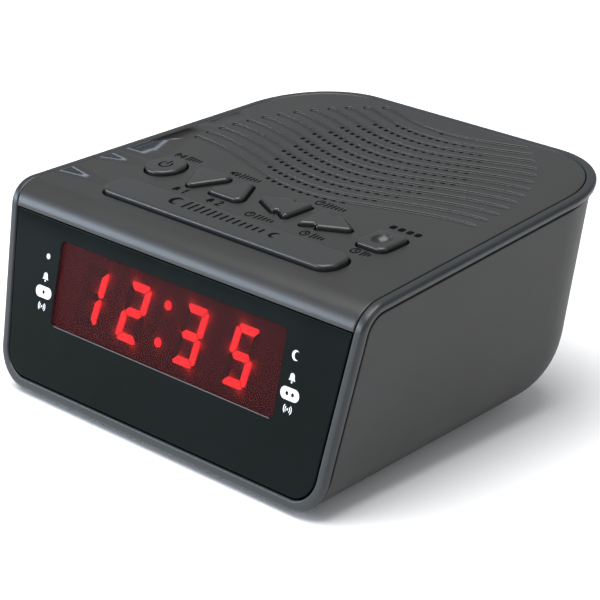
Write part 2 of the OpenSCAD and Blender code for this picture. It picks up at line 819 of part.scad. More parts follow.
module battery_contacts() {
    color(steel) in_body()
        for (s = [-1, 1])
            translate([s * (bay_x - plate_t / 2) - plate_t / 2, bay_y[0] + 1, 4])
                cube([plate_t, bay_y[1] - bay_y[0] - 2, 9]);
}
module battery_door() {
    color(side_grey) in_body() {
        difference() {
            translate([-door_x, door_y[0], 0]) cube([2 * door_x, door_y[1] - door_y[0], floor_t]);
            translate([-6, door_y[1] - 3, -1]) cube([12, 1.2, floor_t + 2]);
            for (i = [-2 : 2]) translate([-5, door_y[1] - 8 + i * 1.4, -0.6]) cube([10, 0.6, 1]);
        }
        for (s = [-1, 1])
            translate([s * 16 - 4, door_y[0] - 2, floor_t + 0.15]) cube([8, 4, 1.1]);
        for (s = [-1, 1])
            translate([s * 16 - 4, door_y[0], floor_t - 0.01]) cube([8, 2, 0.3]);
    }
}

// ---- Base and rear ------------------------------------------------------------------------

module rubber_feet() {
    color([0.1, 0.1, 0.1]) in_body()
        for (p = foot_places) corners_at(p) translate([0, 0, -foot_h]) cylinder(d = foot_d, h = foot_h + 0.4);
}
module cabinet_screws() {
    color(steel) in_body()
        for (p = [post_front, post_rear])
            corners_at(p) difference() {
                union() {
                    translate([0, 0, 8.6]) cylinder(r = 2.8, h = 2.4);
                    translate([0, 0, 11]) cylinder(r = screw_r - 0.2, h = post_split_z + 10 - 11);
                }
                translate([-2, -0.4, 8]) cube([4, 0.8, 1.6]);
                translate([-0.4, -2, 8]) cube([0.8, 4, 1.6]);
            }
}
module cord_gland() {
    color([0.12, 0.12, 0.12]) in_body() at_gland() difference() {
        union() {
            cylinder(r = 6, h = 1.6);
            translate([0, 0, -5]) cylinder(r = gland_r, h = 5.5);
        }
        translate([0, 0, -7]) cylinder(r = 2.2, h = 12);
    }
}

cabinet();
rim_frame();
top_cover();
front_lens();
display_window();
snooze_bar();
snooze_plunger();
power_button();
power_plunger();
volume_down_button();
volume_down_plunger();
volume_up_button();
volume_up_plunger();
tuning_down_button();
tuning_down_plunger();
tuning_up_button();
tuning_up_plunger();
preset_button();
preset_plunger();
tact_switches();
key_board();
key_board_screws();
display_board();
display_housing();
display_segments();
display_ribbon();
key_ribbon();
main_board();
main_board_screws();
clock_chip();
radio_chip();
capacitors();
speaker_basket();
speaker_cone();
speaker_magnet();
speaker_screws();
transformer_core();
transformer_coil();
transformer_screws();
ferrite_rod();
antenna_coil();
antenna_clips();
battery_springs();
battery_contacts();
battery_door();
rubber_feet();
cabinet_screws();
cord_gland();
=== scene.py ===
import json
import math

import bmesh
import bpy
import numpy as np
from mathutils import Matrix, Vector
from mathutils.geometry import delaunay_2d_cdt


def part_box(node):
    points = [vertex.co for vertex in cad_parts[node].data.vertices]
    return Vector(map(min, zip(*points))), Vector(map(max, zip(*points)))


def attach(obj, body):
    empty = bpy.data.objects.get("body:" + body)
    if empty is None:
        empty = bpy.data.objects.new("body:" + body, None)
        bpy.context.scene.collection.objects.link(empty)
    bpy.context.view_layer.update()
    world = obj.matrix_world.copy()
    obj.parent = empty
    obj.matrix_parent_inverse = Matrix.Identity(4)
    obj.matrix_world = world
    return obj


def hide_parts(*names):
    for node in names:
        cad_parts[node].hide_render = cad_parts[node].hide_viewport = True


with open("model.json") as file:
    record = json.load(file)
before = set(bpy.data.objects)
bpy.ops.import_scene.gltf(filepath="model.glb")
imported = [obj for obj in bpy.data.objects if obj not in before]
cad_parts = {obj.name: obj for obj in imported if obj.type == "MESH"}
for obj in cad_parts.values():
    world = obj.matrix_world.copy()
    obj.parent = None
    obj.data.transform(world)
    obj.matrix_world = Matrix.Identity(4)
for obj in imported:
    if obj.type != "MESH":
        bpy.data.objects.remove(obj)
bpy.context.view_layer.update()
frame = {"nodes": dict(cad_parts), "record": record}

# ---- Sizes, in millimetres and radians, in the body's own frame ------------------------------
# Its origin is the middle of the front bottom edge: x to the right, y to the rear, z up.

MM = 0.001
ORIGIN = np.array([0.0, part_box("rim_frame")[0].y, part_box("cabinet")[0].z])
BODY_W, BODY_D, TOP_Z = 130.0, 111.7, 49.1
LEAN, RISE, REAR_LEAN = math.radians(12.2), math.radians(5.3), math.radians(11.5)
FLARE, TAPER = 0.135, 0.0978
FALL_R, REAR_R, HEEL_R, TOE_R = 8.0, 26.0, 19.0, 10.5
WALL, RIM_W, RIM_DEPTH, LENS_GAP, COVER_T = 2.2, 2.9, 2.4, 0.4, 2.0
KEY_GAP, KEY_PROUD, SNOOZE_PROUD = 0.5, 1.1, 1.3

BEND = math.pi / 2 - LEAN - RISE
FRONT_H = TOP_Z * math.cos(RISE) / math.cos(LEAN + RISE) - FALL_R * math.tan(BEND / 2)
FALL_Y = FRONT_H * math.sin(LEAN) + FALL_R * math.cos(LEAN)
FALL_Z = FRONT_H * math.cos(LEAN) - FALL_R * math.sin(LEAN)
BEND_LEN = FALL_R * BEND
BEND_END_Y = (FALL_Y - FALL_R * math.sin(RISE)) / math.cos(RISE)
WIDEST = (FRONT_H + FALL_R * math.tan(BEND / 2)) * np.array([math.sin(LEAN), math.cos(LEAN)])
BASE_HALF_W = BODY_W / 2 - FLARE * WIDEST[1] + TAPER * WIDEST[0]
REAR_TOP_Z = TOP_Z + BODY_D * math.tan(RISE)
Q_END = BODY_D - REAR_TOP_Z * math.tan(REAR_LEAN)


def half_w(y, z):
    """Half width of the body: it grows with height and shrinks with depth."""
    return BASE_HALF_W + FLARE * z - TAPER * y


def placed(points):
    """Points of the body's own frame, in millimetres, as row frame metres."""
    return np.asarray(points, float) * MM + ORIGIN


# ---- Mesh making ----------------------------------------------------------------------------

def grid_faces(rows, columns, close_rows=False, close_columns=False):
    """Quads of a grid of points numbered row by row; a closed direction joins its end to its start."""
    i = np.arange(rows if close_rows else rows - 1)
    j = np.arange(columns if close_columns else columns - 1)
    i, j = (a.ravel() for a in np.meshgrid(i, j, indexing="ij"))
    down, across = (i + 1) % rows, (j + 1) % columns
    quads = [i * columns + j, down * columns + j, down * columns + across, i * columns + across]
    return np.stack(quads, 1)


class Surfaces:
    """Gathers the surfaces of one piece: arrays of points in the body's frame, and their faces."""

    def __init__(self):
        self.points, self.faces, self.count = [], [], 0

    def add(self, points, faces):
        points = np.asarray(points, float).reshape(-1, 3)
        self.faces += (np.asarray(faces) + self.count).tolist()
        self.points.append(points)
        self.count += len(points)

    def grid(self, points, close_rows=False, close_columns=False):
        """A grid given as an array of rows x columns x 3."""
        points = np.asarray(points, float)
        self.add(points, grid_faces(points.shape[0], points.shape[1], close_rows, close_columns))

    def prism(self, loops, place, low, high):
        """A plate between the depths low and high: the first loop's inside filled, less the other
        loops, and every loop walled."""
        points, faces = filled(loops)
        self.add(place(points[:, 0], points[:, 1], low), faces)
        self.add(place(points[:, 0], points[:, 1], high), faces)
        for loop in loops:
            self.grid([place(loop[:, 0], loop[:, 1], d) for d in (low, high)], close_columns=True)


def merged(surfaces):
    """A mesh of the gathered surfaces, with their shared edges joined and every face outwards."""
    mesh = bpy.data.meshes.new("surface")
    mesh.from_pydata(placed(np.concatenate(surfaces.points)).tolist(), [], surfaces.faces)
    work = bmesh.new()
    work.from_mesh(mesh)
    bmesh.ops.remove_doubles(work, verts=work.verts, dist=2e-6)
    bmesh.ops.dissolve_degenerate(work, edges=work.edges, dist=1e-7)
    bmesh.ops.recalc_face_normals(work, faces=work.faces)
    work.to_mesh(mesh)
    work.free()
    return mesh


def piece(name, surfaces, body, finish, replaces=(), sharp=35):
    """A finished piece: its mesh shaded smooth up to the sharp angle, riding on a body."""
    mesh = surfaces if isinstance(surfaces, bpy.types.Mesh) else merged(surfaces)
    mesh.name = name
    mesh.polygons.foreach_set("use_smooth", np.ones(len(mesh.polygons), bool))
    mesh.set_sharp_from_angle(angle=math.radians(sharp))
    mesh.materials.append(finish)
    obj = bpy.data.objects.new(name, mesh)
    bpy.context.scene.collection.objects.link(obj)
    shading = obj.modifiers.new("weighted normals", "WEIGHTED_NORMAL")
    shading.keep_sharp = True
    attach(obj, body)
    if replaces:
        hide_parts(*replaces)
    return obj


def filled(loops, lines=()):
    """Points and triangles inside the first loop and outside the others: a constrained Delaunay
    triangulation, of which the triangles whose middle has an odd number of crossings are kept."""
    points = np.concatenate([*loops, *lines])
    edges, start = [], 0
    for loop in loops:
        i = np.arange(len(loop))
        edges.append(np.stack([i, (i + 1) % len(loop)], 1) + start)
        start += len(loop)
    ring = np.concatenate(edges)
    for line in lines:
        i = np.arange(len(line) - 1)
        edges.append(np.stack([i, i + 1], 1) + start)
        start += len(line)
    made = delaunay_2d_cdt(points.tolist(), np.concatenate(edges).tolist(), [], 0, 1e-6)
    found = np.array(made[0])
    for i, sources in enumerate(made[3]):
        if sources:
            found[i] = points[sources[0]]
    faces = np.array(made[2])
    middle = found[faces].mean(1)
    a, b = points[ring[:, 0]], points[ring[:, 1]]
    rise = np.where(a[:, 1] == b[:, 1], 1e-12, b[:, 1] - a[:, 1])
    inside = np.zeros(len(faces), bool)
    for part in np.array_split(np.arange(len(faces)), max(1, len(faces) // 2000)):
        m = middle[part]
        between = (a[:, 1] > m[:, 1:]) != (b[:, 1] > m[:, 1:])
        cross = (b[:, 0] - a[:, 0]) * (m[:, 1:] - a[:, 1]) / rise + a[:, 0]
        inside[part] = (between & (m[:, :1] < cross)).sum(1) % 2 == 1
    return found, faces[inside]


def outline(corners, out, reach=None, steps=7):
    """A loop at the distance out outside a polygon given anticlockwise. A corner that sticks out gets
    an arc about it; one that goes in gets an arc that shrinks as out grows to reach."""
    c = np.asarray(corners, float)
    way = np.roll(c, -1, 0) - c
    normal = np.stack([way[:, 1], -way[:, 0]], 1) / np.linalg.norm(way, axis=1)[:, None]
    before = np.roll(normal, 1, 0)
    first = np.arctan2(before[:, 1], before[:, 0])
    turn = np.arctan2(normal[:, 1], normal[:, 0]) - first
    turn = (turn + math.pi) % (2 * math.pi) - math.pi
    reach = out if reach is None else reach
    shift = reach * (before + normal) / (1 + (before * normal).sum(1))[:, None]
    hollow = turn < 0
    centre = np.where(hollow[:, None], c + shift, c)
    radius = np.where(hollow, out - reach, out)
    angle = first[:, None] + turn[:, None] * np.linspace(0, 1, steps + 1)
    arcs = centre[:, None] + radius[:, None, None] * np.stack([np.cos(angle), np.sin(angle)], -1)
    return arcs.reshape(-1, 2)


def box_corners(width, height, r, at=(0.0, 0.0)):
    """Corner centres of a rectangle whose corners have the radius r."""
    x, y = width / 2 - r, height / 2 - r
    return np.array([[x, y], [-x, y], [-x, -y], [x, -y]]) + at


def circle(r, at=(0.0, 0.0), steps=48):
    """A round loop."""
    angle = np.arange(steps) * 2 * math.pi / steps
    return np.stack([np.cos(angle), np.sin(angle)], 1) * r + at


def turned(surfaces, profile, place, steps=40):
    """A profile of (radius, height) points carried round an axis. place turns x, y and height into
    points."""
    angle = np.arange(steps) * 2 * math.pi / steps
    rings = [place(r * np.cos(angle), r * np.sin(angle), h) for r, h in profile]
    surfaces.grid(rings, close_columns=True)


# ---- The body's surface -----------------------------------------------------------------------

def skin_point(x, t, depth=0.0):
    """The point x across and t up the front, over the bend and along the top, at a depth below the
    surface. The surface is flat, then a cylinder of the bend's radius, then flat."""
    x, t, depth = np.broadcast_arrays(x, t, depth)
    angle = math.pi - LEAN - np.clip((t - FRONT_H) / FALL_R, 0, BEND)
    before = np.minimum(t - FRONT_H, 0)
    after = np.maximum(t - FRONT_H - BEND_LEN, 0)
    r = FALL_R - depth
    y = FALL_Y + r * np.cos(angle) + before * math.sin(LEAN) + after * math.cos(RISE)
    z = FALL_Z + r * np.sin(angle) + before * math.cos(LEAN) + after * math.sin(RISE)
    return np.stack([x, y, z], -1)


def skin_normal(t):
    """Outward direction of that surface."""
    angle = math.pi - LEAN - np.clip((t - FRONT_H) / FALL_R, 0, BEND)
    return np.stack([0 * angle, np.cos(angle), np.sin(angle)], -1)


def on_top(x, y, depth=0.0):
    """A point of the top's plane, with y measured along the top from above the front bottom edge."""
    x, y, depth = np.broadcast_arrays(x, y, depth)
    return np.stack([
        x,
        y * math.cos(RISE) + depth * math.sin(RISE),
        TOP_Z + y * math.sin(RISE) - depth * math.cos(RISE),
    ], -1)


def on_front(x, v, depth=0.0):
    """A point of the front's plane, with v measured up the front from its bottom edge."""
    return skin_point(x, v, depth)


def at_base(x, y, z=0.0):
    """A point over the base, for loops drawn in plan."""
    x, y, z = np.broadcast_arrays(x, y, z)
    return np.stack([x, y, z], -1)


def top_t(y):
    """The distance t of a place in the top's plane."""
    return FRONT_H + BEND_LEN + y - BEND_END_Y


def edge_x(t):
    """Half width of the body where the surface is at t."""
    p = skin_point(0.0, t)
    return half_w(p[..., 1], p[..., 2])


def unit(v):
    """Vectors at length one."""
    return v / np.linalg.norm(v, axis=-1, keepdims=True)


# The edge of the front and the top is one closed loop: along the front's bottom, up its side, over
# the bend, along the top and round the rear. Each sample has x, t, the outward direction in the
# unrolled surface, and the outward direction of the side, base or rear wall below it.
SIDE_WALL = unit(np.array([1.0, TAPER, -FLARE]))
BASE_WALL = np.array([0.0, 0.0, -1.0])
REAR_WALL = unit(np.array([0.0, 1.0, -math.tan(REAR_LEAN)]))
TOE_CX = edge_x(TOE_R) - TOE_R
TOP_SLOPE = math.atan(TAPER * math.cos(RISE) - FLARE * math.sin(RISE))
FRONT_SLOPE = math.atan(FLARE * math.cos(LEAN) - TAPER * math.sin(LEAN))
REAR_CY = BODY_D - REAR_R
REAR_CX = half_w(REAR_CY, TOP_Z + REAR_CY * math.tan(RISE)) - REAR_R / math.cos(TOP_SLOPE)
REAR_CT = top_t(REAR_CY / math.cos(RISE))
BEND_ROWS = 14


def edge_loop():
    """Samples of the right half, from the middle of the front's bottom to the middle of the rear."""
    x = np.linspace(0, TOE_CX, 8)[:-1]
    bottom = [x, 0 * x, 0 * x, 0 * x - 1]
    walls = [np.tile(BASE_WALL, (len(x), 1))]
    w = np.linspace(0, 1, 15)
    a = -math.pi / 2 + w * (math.pi / 2 - FRONT_SLOPE)
    toe = [TOE_CX + TOE_R * np.cos(a), TOE_R + TOE_R * np.sin(a), np.cos(a), np.sin(a)]
    turn = w[:, None] * math.pi / 2
    walls.append(unit(np.cos(turn) * BASE_WALL + np.sin(turn) * SIDE_WALL))
    start = REAR_CT + REAR_R * math.sin(TOP_SLOPE)
    t = np.concatenate([
        np.linspace(toe[1][-1], FRONT_H, 12)[1:-1],
        np.linspace(FRONT_H, FRONT_H + BEND_LEN, BEND_ROWS),
        np.linspace(FRONT_H + BEND_LEN, start, 18)[1:-1],
    ])
    slope = (edge_x(t + 0.1) - edge_x(t - 0.1)) / 0.2
    side = [edge_x(t), t, 1 / np.hypot(1, slope), -slope / np.hypot(1, slope)]
    walls.append(np.tile(SIDE_WALL, (len(t), 1)))
    w = np.linspace(0, 1, 25)
    a = TOP_SLOPE + w * (math.pi / 2 - TOP_SLOPE)
    rear = [REAR_CX + REAR_R * np.cos(a), REAR_CT + REAR_R * np.sin(a), np.cos(a), np.sin(a)]
    turn = w[:, None] * math.pi / 2
    walls.append(unit(np.cos(turn) * SIDE_WALL + np.sin(turn) * REAR_WALL))
    x = np.linspace(REAR_CX, 0, 8)[1:]
    back = [x, 0 * x + REAR_CT + REAR_R, 0 * x, 0 * x + 1]
    walls.append(np.tile(REAR_WALL, (len(x), 1)))
    flat = np.concatenate([np.stack(part, 1) for part in (bottom, toe, side, rear, back)])
    return flat, np.concatenate(walls)


RIGHT_FLAT, RIGHT_WALLS = edge_loop()
MIRROR_FLAT, MIRROR_WALLS = np.array([-1, 1, -1, 1]), np.array([-1, 1, 1])
LOOP_FLAT = np.concatenate([RIGHT_FLAT, (RIGHT_FLAT * MIRROR_FLAT)[-2:0:-1]])
LOOP_WALLS = np.concatenate([RIGHT_WALLS, (RIGHT_WALLS * MIRROR_WALLS)[-2:0:-1]])


def rim_ring(inward, depth):
    """The edge loop moved inward along the surface and down to a depth. At the outer wall the way
    down follows the side, base or rear wall; at the inner wall it is square to the surface."""
    x, t = (LOOP_FLAT[:, k] - inward * LOOP_FLAT[:, k + 2] for k in (0, 1))
    normal = skin_normal(t)
    along = (normal * LOOP_WALLS).sum(1, keepdims=True)
    wall_way = -(normal - along * LOOP_WALLS) / (1 - along ** 2)
    share = np.clip(inward / RIM_W, 0, 1)
    return skin_point(x, t) + depth * ((1 - share) * wall_way - share * normal)


def arc_profile(centre, r, a0, a1, steps=6):
    """Points of an arc from the angle a0 to a1 in degrees."""
    a = np.radians(np.linspace(a0, a1, steps + 1))
    return np.stack([centre[0] + r * np.cos(a), centre[1] + r * np.sin(a)], 1)


# ---- Finishes ---------------------------------------------------------------------------------

def finish(name, colour, rough, specular=0.5, coat=0.0, metal=0.0):
    """A Principled finish, with its node tree, its shader and its Object coordinates."""
    mat = bpy.data.materials.new(name)
    mat.use_nodes = True
    nodes, links = mat.node_tree.nodes, mat.node_tree.links
    shader = nodes["Principled BSDF"]
    shader.inputs["Base Color"].default_value = (*colour, 1)
    shader.inputs["Roughness"].default_value = rough
    shader.inputs["Specular IOR Level"].default_value = specular
    shader.inputs["Metallic"].default_value = metal
    shader.inputs["Coat Weight"].default_value = coat
    place = nodes.new("ShaderNodeTexCoord")
    return mat, nodes, links, shader, place.outputs["Object"]


def noise(nodes, links, place, scale, detail=3.0, rough=0.55):
    """A noise of a given scale per metre over a place."""
    n = nodes.new("ShaderNodeTexNoise")
    n.inputs["Scale"].default_value = scale
    n.inputs["Detail"].default_value = detail
    n.inputs["Roughness"].default_value = rough
    links.new(place, n.inputs["Vector"])
    return n.outputs["Fac"]


def spread(nodes, links, value, low, high):
    """A value from 0.3 to 0.7 spread out to low to high."""
    r = nodes.new("ShaderNodeMapRange")
    r.inputs["From Min"].default_value = 0.3
    r.inputs["From Max"].default_value = 0.7
    r.inputs["To Min"].default_value = low
    r.inputs["To Max"].default_value = high
    links.new(value, r.inputs["Value"])
    return r.outputs["Result"]


def tint(nodes, links, value, low, high):
    """A colour between two, by a value from 0.3 to 0.7."""
    ramp = nodes.new("ShaderNodeValToRGB")
    ramp.color_ramp.elements[0].position = 0.3
    ramp.color_ramp.elements[0].color = (*low, 1)
    ramp.color_ramp.elements[1].position = 0.7
    ramp.color_ramp.elements[1].color = (*high, 1)
    links.new(value, ramp.inputs["Fac"])
    return ramp.outputs["Color"]


def bump(nodes, links, shader, height, strength, distance_mm):
    """Relief from a height."""
    b = nodes.new("ShaderNodeBump")
    b.inputs["Strength"].default_value = strength
    b.inputs["Distance"].default_value = distance_mm * MM
    links.new(height, b.inputs["Height"])
    links.new(b.outputs["Normal"], shader.inputs["Normal"])


def moulded(name, colour, rough, grain_mm, relief_mm, specular=0.5, drift=0.12, coat=0.0):
    """Moulded plastic: a spark-eroded grain, a slow drift of the colour and an uneven gloss."""
    mat, nodes, links, shader, place = finish(name, colour, rough, specular, coat)
    grain = noise(nodes, links, place, 1000 / grain_mm, 4.0)
    slow = noise(nodes, links, place, 45.0, 2.0)
    low = tuple(c * (1 - drift) for c in colour)
    high = tuple(c * (1 + drift) for c in colour)
    links.new(tint(nodes, links, slow, low, high), shader.inputs["Base Color"])
    links.new(spread(nodes, links, grain, rough * 0.9, rough * 1.1), shader.inputs["Roughness"])
    bump(nodes, links, shader, grain, 0.6, relief_mm)
    return mat


def smooth_metal(name, colour, rough, brushed_mm=0.4):
    """Drawn or plated metal with fine streaks."""
    mat, nodes, links, shader, place = finish(name, colour, rough, metal=1.0)
    streak = noise(nodes, links, place, 1000 / brushed_mm, 2.0)
    links.new(spread(nodes, links, streak, rough * 0.7, rough * 1.3), shader.inputs["Roughness"])
    bump(nodes, links, shader, streak, 0.2, 0.01)
    return mat


def glowing(name, colour, strength):
    """A lit display segment."""
    mat, nodes, links, shader, place = finish(name, (0.25, 0.01, 0.01), 0.4)
    shader.inputs["Emission Color"].default_value = (*colour, 1)
    uneven = noise(nodes, links, place, 120.0, 1.0)
    brightness = spread(nodes, links, uneven, strength * 0.96, strength * 1.04)
    links.new(brightness, shader.inputs["Emission Strength"])
    return mat


def painted_halo_finish():
    """The display's dark face, with a painted red glow: it emits red where its glow attribute says,
    standing for the lit segments' light spilling onto it.
    """
    mat, nodes, links, shader, _ = finish("display_face_painted_red_glow", (0.03, 0.008, 0.009), 0.6, specular=0.1)
    glow = nodes.new("ShaderNodeAttribute")
    glow.attribute_name = "glow"
    shader.inputs["Emission Color"].default_value = (1.0, 0.03, 0.03, 1)
    links.new(glow.outputs["Fac"], shader.inputs["Emission Strength"])
    return mat


TOP_GREY = moulded("top_charcoal", (0.016, 0.0155, 0.0148), 0.36, 0.22, 0.010, specular=0.42, drift=0.08)
SIDE_GREY = moulded("side_dark_grey", (0.022, 0.022, 0.0223), 0.55, 0.28, 0.03, specular=0.4)
RIM_BLACK = moulded("rim_satin_black", (0.0115, 0.0145, 0.016), 0.36, 0.3, 0.006, specular=0.45)
# A lighter grey for the strip along the pane's lower edge: a painted highlight.
PANE_EDGE_PAINTED_HIGHLIGHT = moulded("pane_edge_painted_highlight", (0.06, 0.05, 0.055), 0.2, 2.0, 0.002)
KEY_GREY = moulded("key_charcoal", (0.017, 0.017, 0.0165), 0.30, 0.25, 0.008, specular=0.45, drift=0.06)
LABEL_DARK = moulded("label_dark", (0.0015, 0.0015, 0.0015), 0.8, 0.2, 0.004, specular=0.05)
LENS_BLACK = moulded("lens_gloss_black", (0.0020, 0.0044, 0.0042), 0.10, 6.0, 0.002,
                     specular=0.05, drift=0.25)
WINDOW_RED = moulded("window_filter_red", (0.040, 0.006, 0.007), 0.08, 6.0, 0.002, specular=0.04)
WINDOW_RED.node_tree.nodes["Principled BSDF"].inputs["Alpha"].default_value = 0.30
LEGEND_WHITE = moulded("legend_white", (0.75, 0.77, 0.78), 0.5, 0.3, 0.004)
LIT_RED = glowing("segment_lit", (1.0, 0.008, 0.012), 1.6)
DIM_RED = moulded("segment_unlit", (0.03, 0.008, 0.009), 0.6, 0.6, 0.004, specular=0.1)
# The display's face, with a painted red glow round the lit segments.
DISPLAY_FACE_PAINTED_GLOW = painted_halo_finish()
BLACK_PART = moulded("black_plastic", (0.015, 0.015, 0.016), 0.45, 0.35, 0.012)
WHITE_PART = moulded("white_nylon", (0.62, 0.61, 0.57), 0.4, 0.5, 0.01)
BOARD_GREEN = moulded("board_green", (0.012, 0.07, 0.028), 0.35, 0.8, 0.01, coat=0.3)
STEEL = smooth_metal("plated_steel", (0.6, 0.6, 0.61), 0.3)
COPPER = smooth_metal("copper_wire", (0.65, 0.28, 0.12), 0.35, 0.3)
IRON = smooth_metal("core_iron", (0.2, 0.2, 0.21), 0.5)
FERRITE = moulded("ferrite", (0.03, 0.03, 0.032), 0.5, 0.3, 0.02)
RUBBER = moulded("foot_rubber", (0.02, 0.02, 0.02), 0.75, 0.4, 0.03)
RIBBON = moulded("ribbon_grey", (0.35, 0.35, 0.37), 0.5, 0.9, 0.02)
SLEEVE = moulded("capacitor_sleeve", (0.02, 0.035, 0.12), 0.3, 0.5, 0.004)
PAPER = moulded("speaker_paper", (0.015, 0.015, 0.015), 0.8, 0.5, 0.05)

SLOT_FINISHES = {
    "cabinet_plastic": SIDE_GREY, "rim_plastic": RIM_BLACK, "top_plastic": TOP_GREY,
    "lens_black": LENS_BLACK, "window_red": WINDOW_RED, "key_plastic": KEY_GREY,
    "segment_red": DIM_RED, "black_plastic": BLACK_PART, "white_plastic": WHITE_PART,
    "circuit_board": BOARD_GREEN, "steel": STEEL, "ribbon_grey": RIBBON,
    "capacitor_sleeve": SLEEVE, "speaker_paper": PAPER, "ferrite": FERRITE,
    "core_iron": IRON, "copper_coil": COPPER, "foot_rubber": RUBBER,
}


# ---- Rim --------------------------------------------------------------------------------------

GROOVE = 0.55
CABINET_TOP = RIM_DEPTH + 0.12


def make_rim():
    """The bead round the lens and the top: one closed profile carried along the edge loop, with a
    round outer shoulder, a slightly crowned face, a small inner edge, and a tongue behind it."""
    shoulder, inner = 1.15, 0.55
    profile = np.concatenate([
        [[GROOVE, RIM_DEPTH], [GROOVE, RIM_DEPTH - 0.5], [0.12, RIM_DEPTH - 0.5]],
        [[0.0, RIM_DEPTH - 0.65]],
        arc_profile((shoulder, shoulder + 0.05), shoulder, 180, 270, 8),
        [[1.7, 0.0]],
        arc_profile((RIM_W - inner, inner + 0.03), inner, 270, 360, 5),
        [[RIM_W, RIM_DEPTH], [3.35, RIM_DEPTH + 0.4], [3.35, 6.6], [2.4, 6.6], [2.4, RIM_DEPTH]],
    ])
    rim = Surfaces()
    rim.grid([rim_ring(i, d) for i, d in profile], close_rows=True, close_columns=True)
    piece("rim", rim, "body", RIM_BLACK, ["rim_frame"])


# ---- Cabinet ----------------------------------------------------------------------------------

DOOR_X, DOOR_Y, DOOR_GAP = 28.2, (24.8, 53.2), 0.3
SCREW_PLACES = ((50, 24), (36, 88))
FOOT_PLACES = ((36, 16), (28, 76))
VENT_PITCH, VENT_W, VENT_Y, VENT_LEN = 3.6, 1.8, 60, 16
GLAND_X, GLAND_Z, GLAND_R = 24, 26, 4.5
SHARP_EDGE = 0.3


def lean_at(q):
    """Tangent of the lean of the section q: the front's lean at the front, the rear's at the rear."""
    return math.tan(LEAN) + (math.tan(REAR_LEAN) - math.tan(LEAN)) * q / Q_END


def section_rows(depth):
    """The sections q of the cabinet, from the parting line's front to the rear wall, and the height at
    which each meets the parting line at that depth: on the bend's arc first, then on the top."""
    a = np.linspace(math.pi - LEAN, math.pi / 2 + RISE, 13)
    y = FALL_Y + (FALL_R - depth) * np.cos(a)
    z = FALL_Z + (FALL_R - depth) * np.sin(a)
    spread_lean = (math.tan(REAR_LEAN) - math.tan(LEAN)) / Q_END
    on_bend = (y - z * math.tan(LEAN)) / (1 + z * spread_lean)
    heel = Q_END - HEEL_R
    straight = np.linspace(on_bend[-1], Q_END - REAR_R, 14)[1:]
    turn = np.linspace(0, math.pi / 2, 25)
    corner = Q_END - REAR_R + REAR_R * np.sin(turn)[1:]
    corner[np.argmin(abs(corner - heel))] = heel
    q = np.concatenate([on_bend, straight, corner])
    slope = math.tan(RISE)
    top = (TOP_Z - depth / math.cos(RISE) + q * slope) / (1 - lean_at(q) * slope)
    top[:len(z)] = z
    return q, top


def cabinet_sections(depth):
    """Right half of each section from the bottom up: the arc of the bottom corner, then the side's
    line. Rows are the sections q. Behind the heel the arc shrinks like a ball's sections, and the
    side is drawn in by the rear corner's radius, which grows from the heel's to the top's."""
    q, top = section_rows(depth)
    q, top = q[:, None], top[:, None]
    cosine = 1 / np.hypot(1, lean_at(q))
    slope = (FLARE - TAPER * lean_at(q)) * cosine
    stretch = np.hypot(1, slope)
    centre_w = TOE_R + (HEEL_R - TOE_R) * np.clip(q / (Q_END - HEEL_R), 0, 1)
    behind = np.clip(q - (Q_END - HEEL_R), 0, HEEL_R)
    r = np.where(behind > 0, np.sqrt(np.maximum(HEEL_R ** 2 - behind ** 2, 0)), centre_w)
    centre_z = centre_w * cosine
    centre_x = half_w(q + centre_z * lean_at(q), centre_z) - centre_w * stretch
    angle = -math.pi / 2 + np.linspace(0, 1, 17) * (math.pi / 2 - np.arctan(slope))
    arc_x = centre_x + r * np.cos(angle)
    arc_z = (centre_w + r * np.sin(angle)) * cosine
    line_z = arc_z[:, -1:] + (top - arc_z[:, -1:]) * np.linspace(0, 1, 19)[1:]
    height = np.clip((line_z / cosine - HEEL_R) / (top / cosine - HEEL_R), 0, 1)
    corner_r = HEEL_R + (REAR_R - HEEL_R) * height
    past = np.clip(q - (Q_END - corner_r), 0, corner_r)
    drawn_in = corner_r - np.sqrt(corner_r ** 2 - past ** 2)
    line_x = half_w(q + line_z * lean_at(q), line_z) - drawn_in * stretch
    x = np.concatenate([arc_x, line_x], 1)
    z = np.concatenate([arc_z, line_z], 1)
    return np.stack([x, q + z * lean_at(q), z], -1)


def normals_of(points, faces):
    """Outward direction at each point: the sum of its triangles' area vectors, made unit length."""
    total = np.zeros_like(points)
    for face_set in faces:
        a, b, c = (points[face_set[:, k]] for k in (0, 1, 2))
        area = np.cross(b - a, c - a)
        if face_set.shape[1] == 4:
            area = area + np.cross(points[face_set[:, 2]] - a, points[face_set[:, 3]] - a)
        for k in range(face_set.shape[1]):
            np.add.at(total, face_set[:, k], area)
    return unit(total)


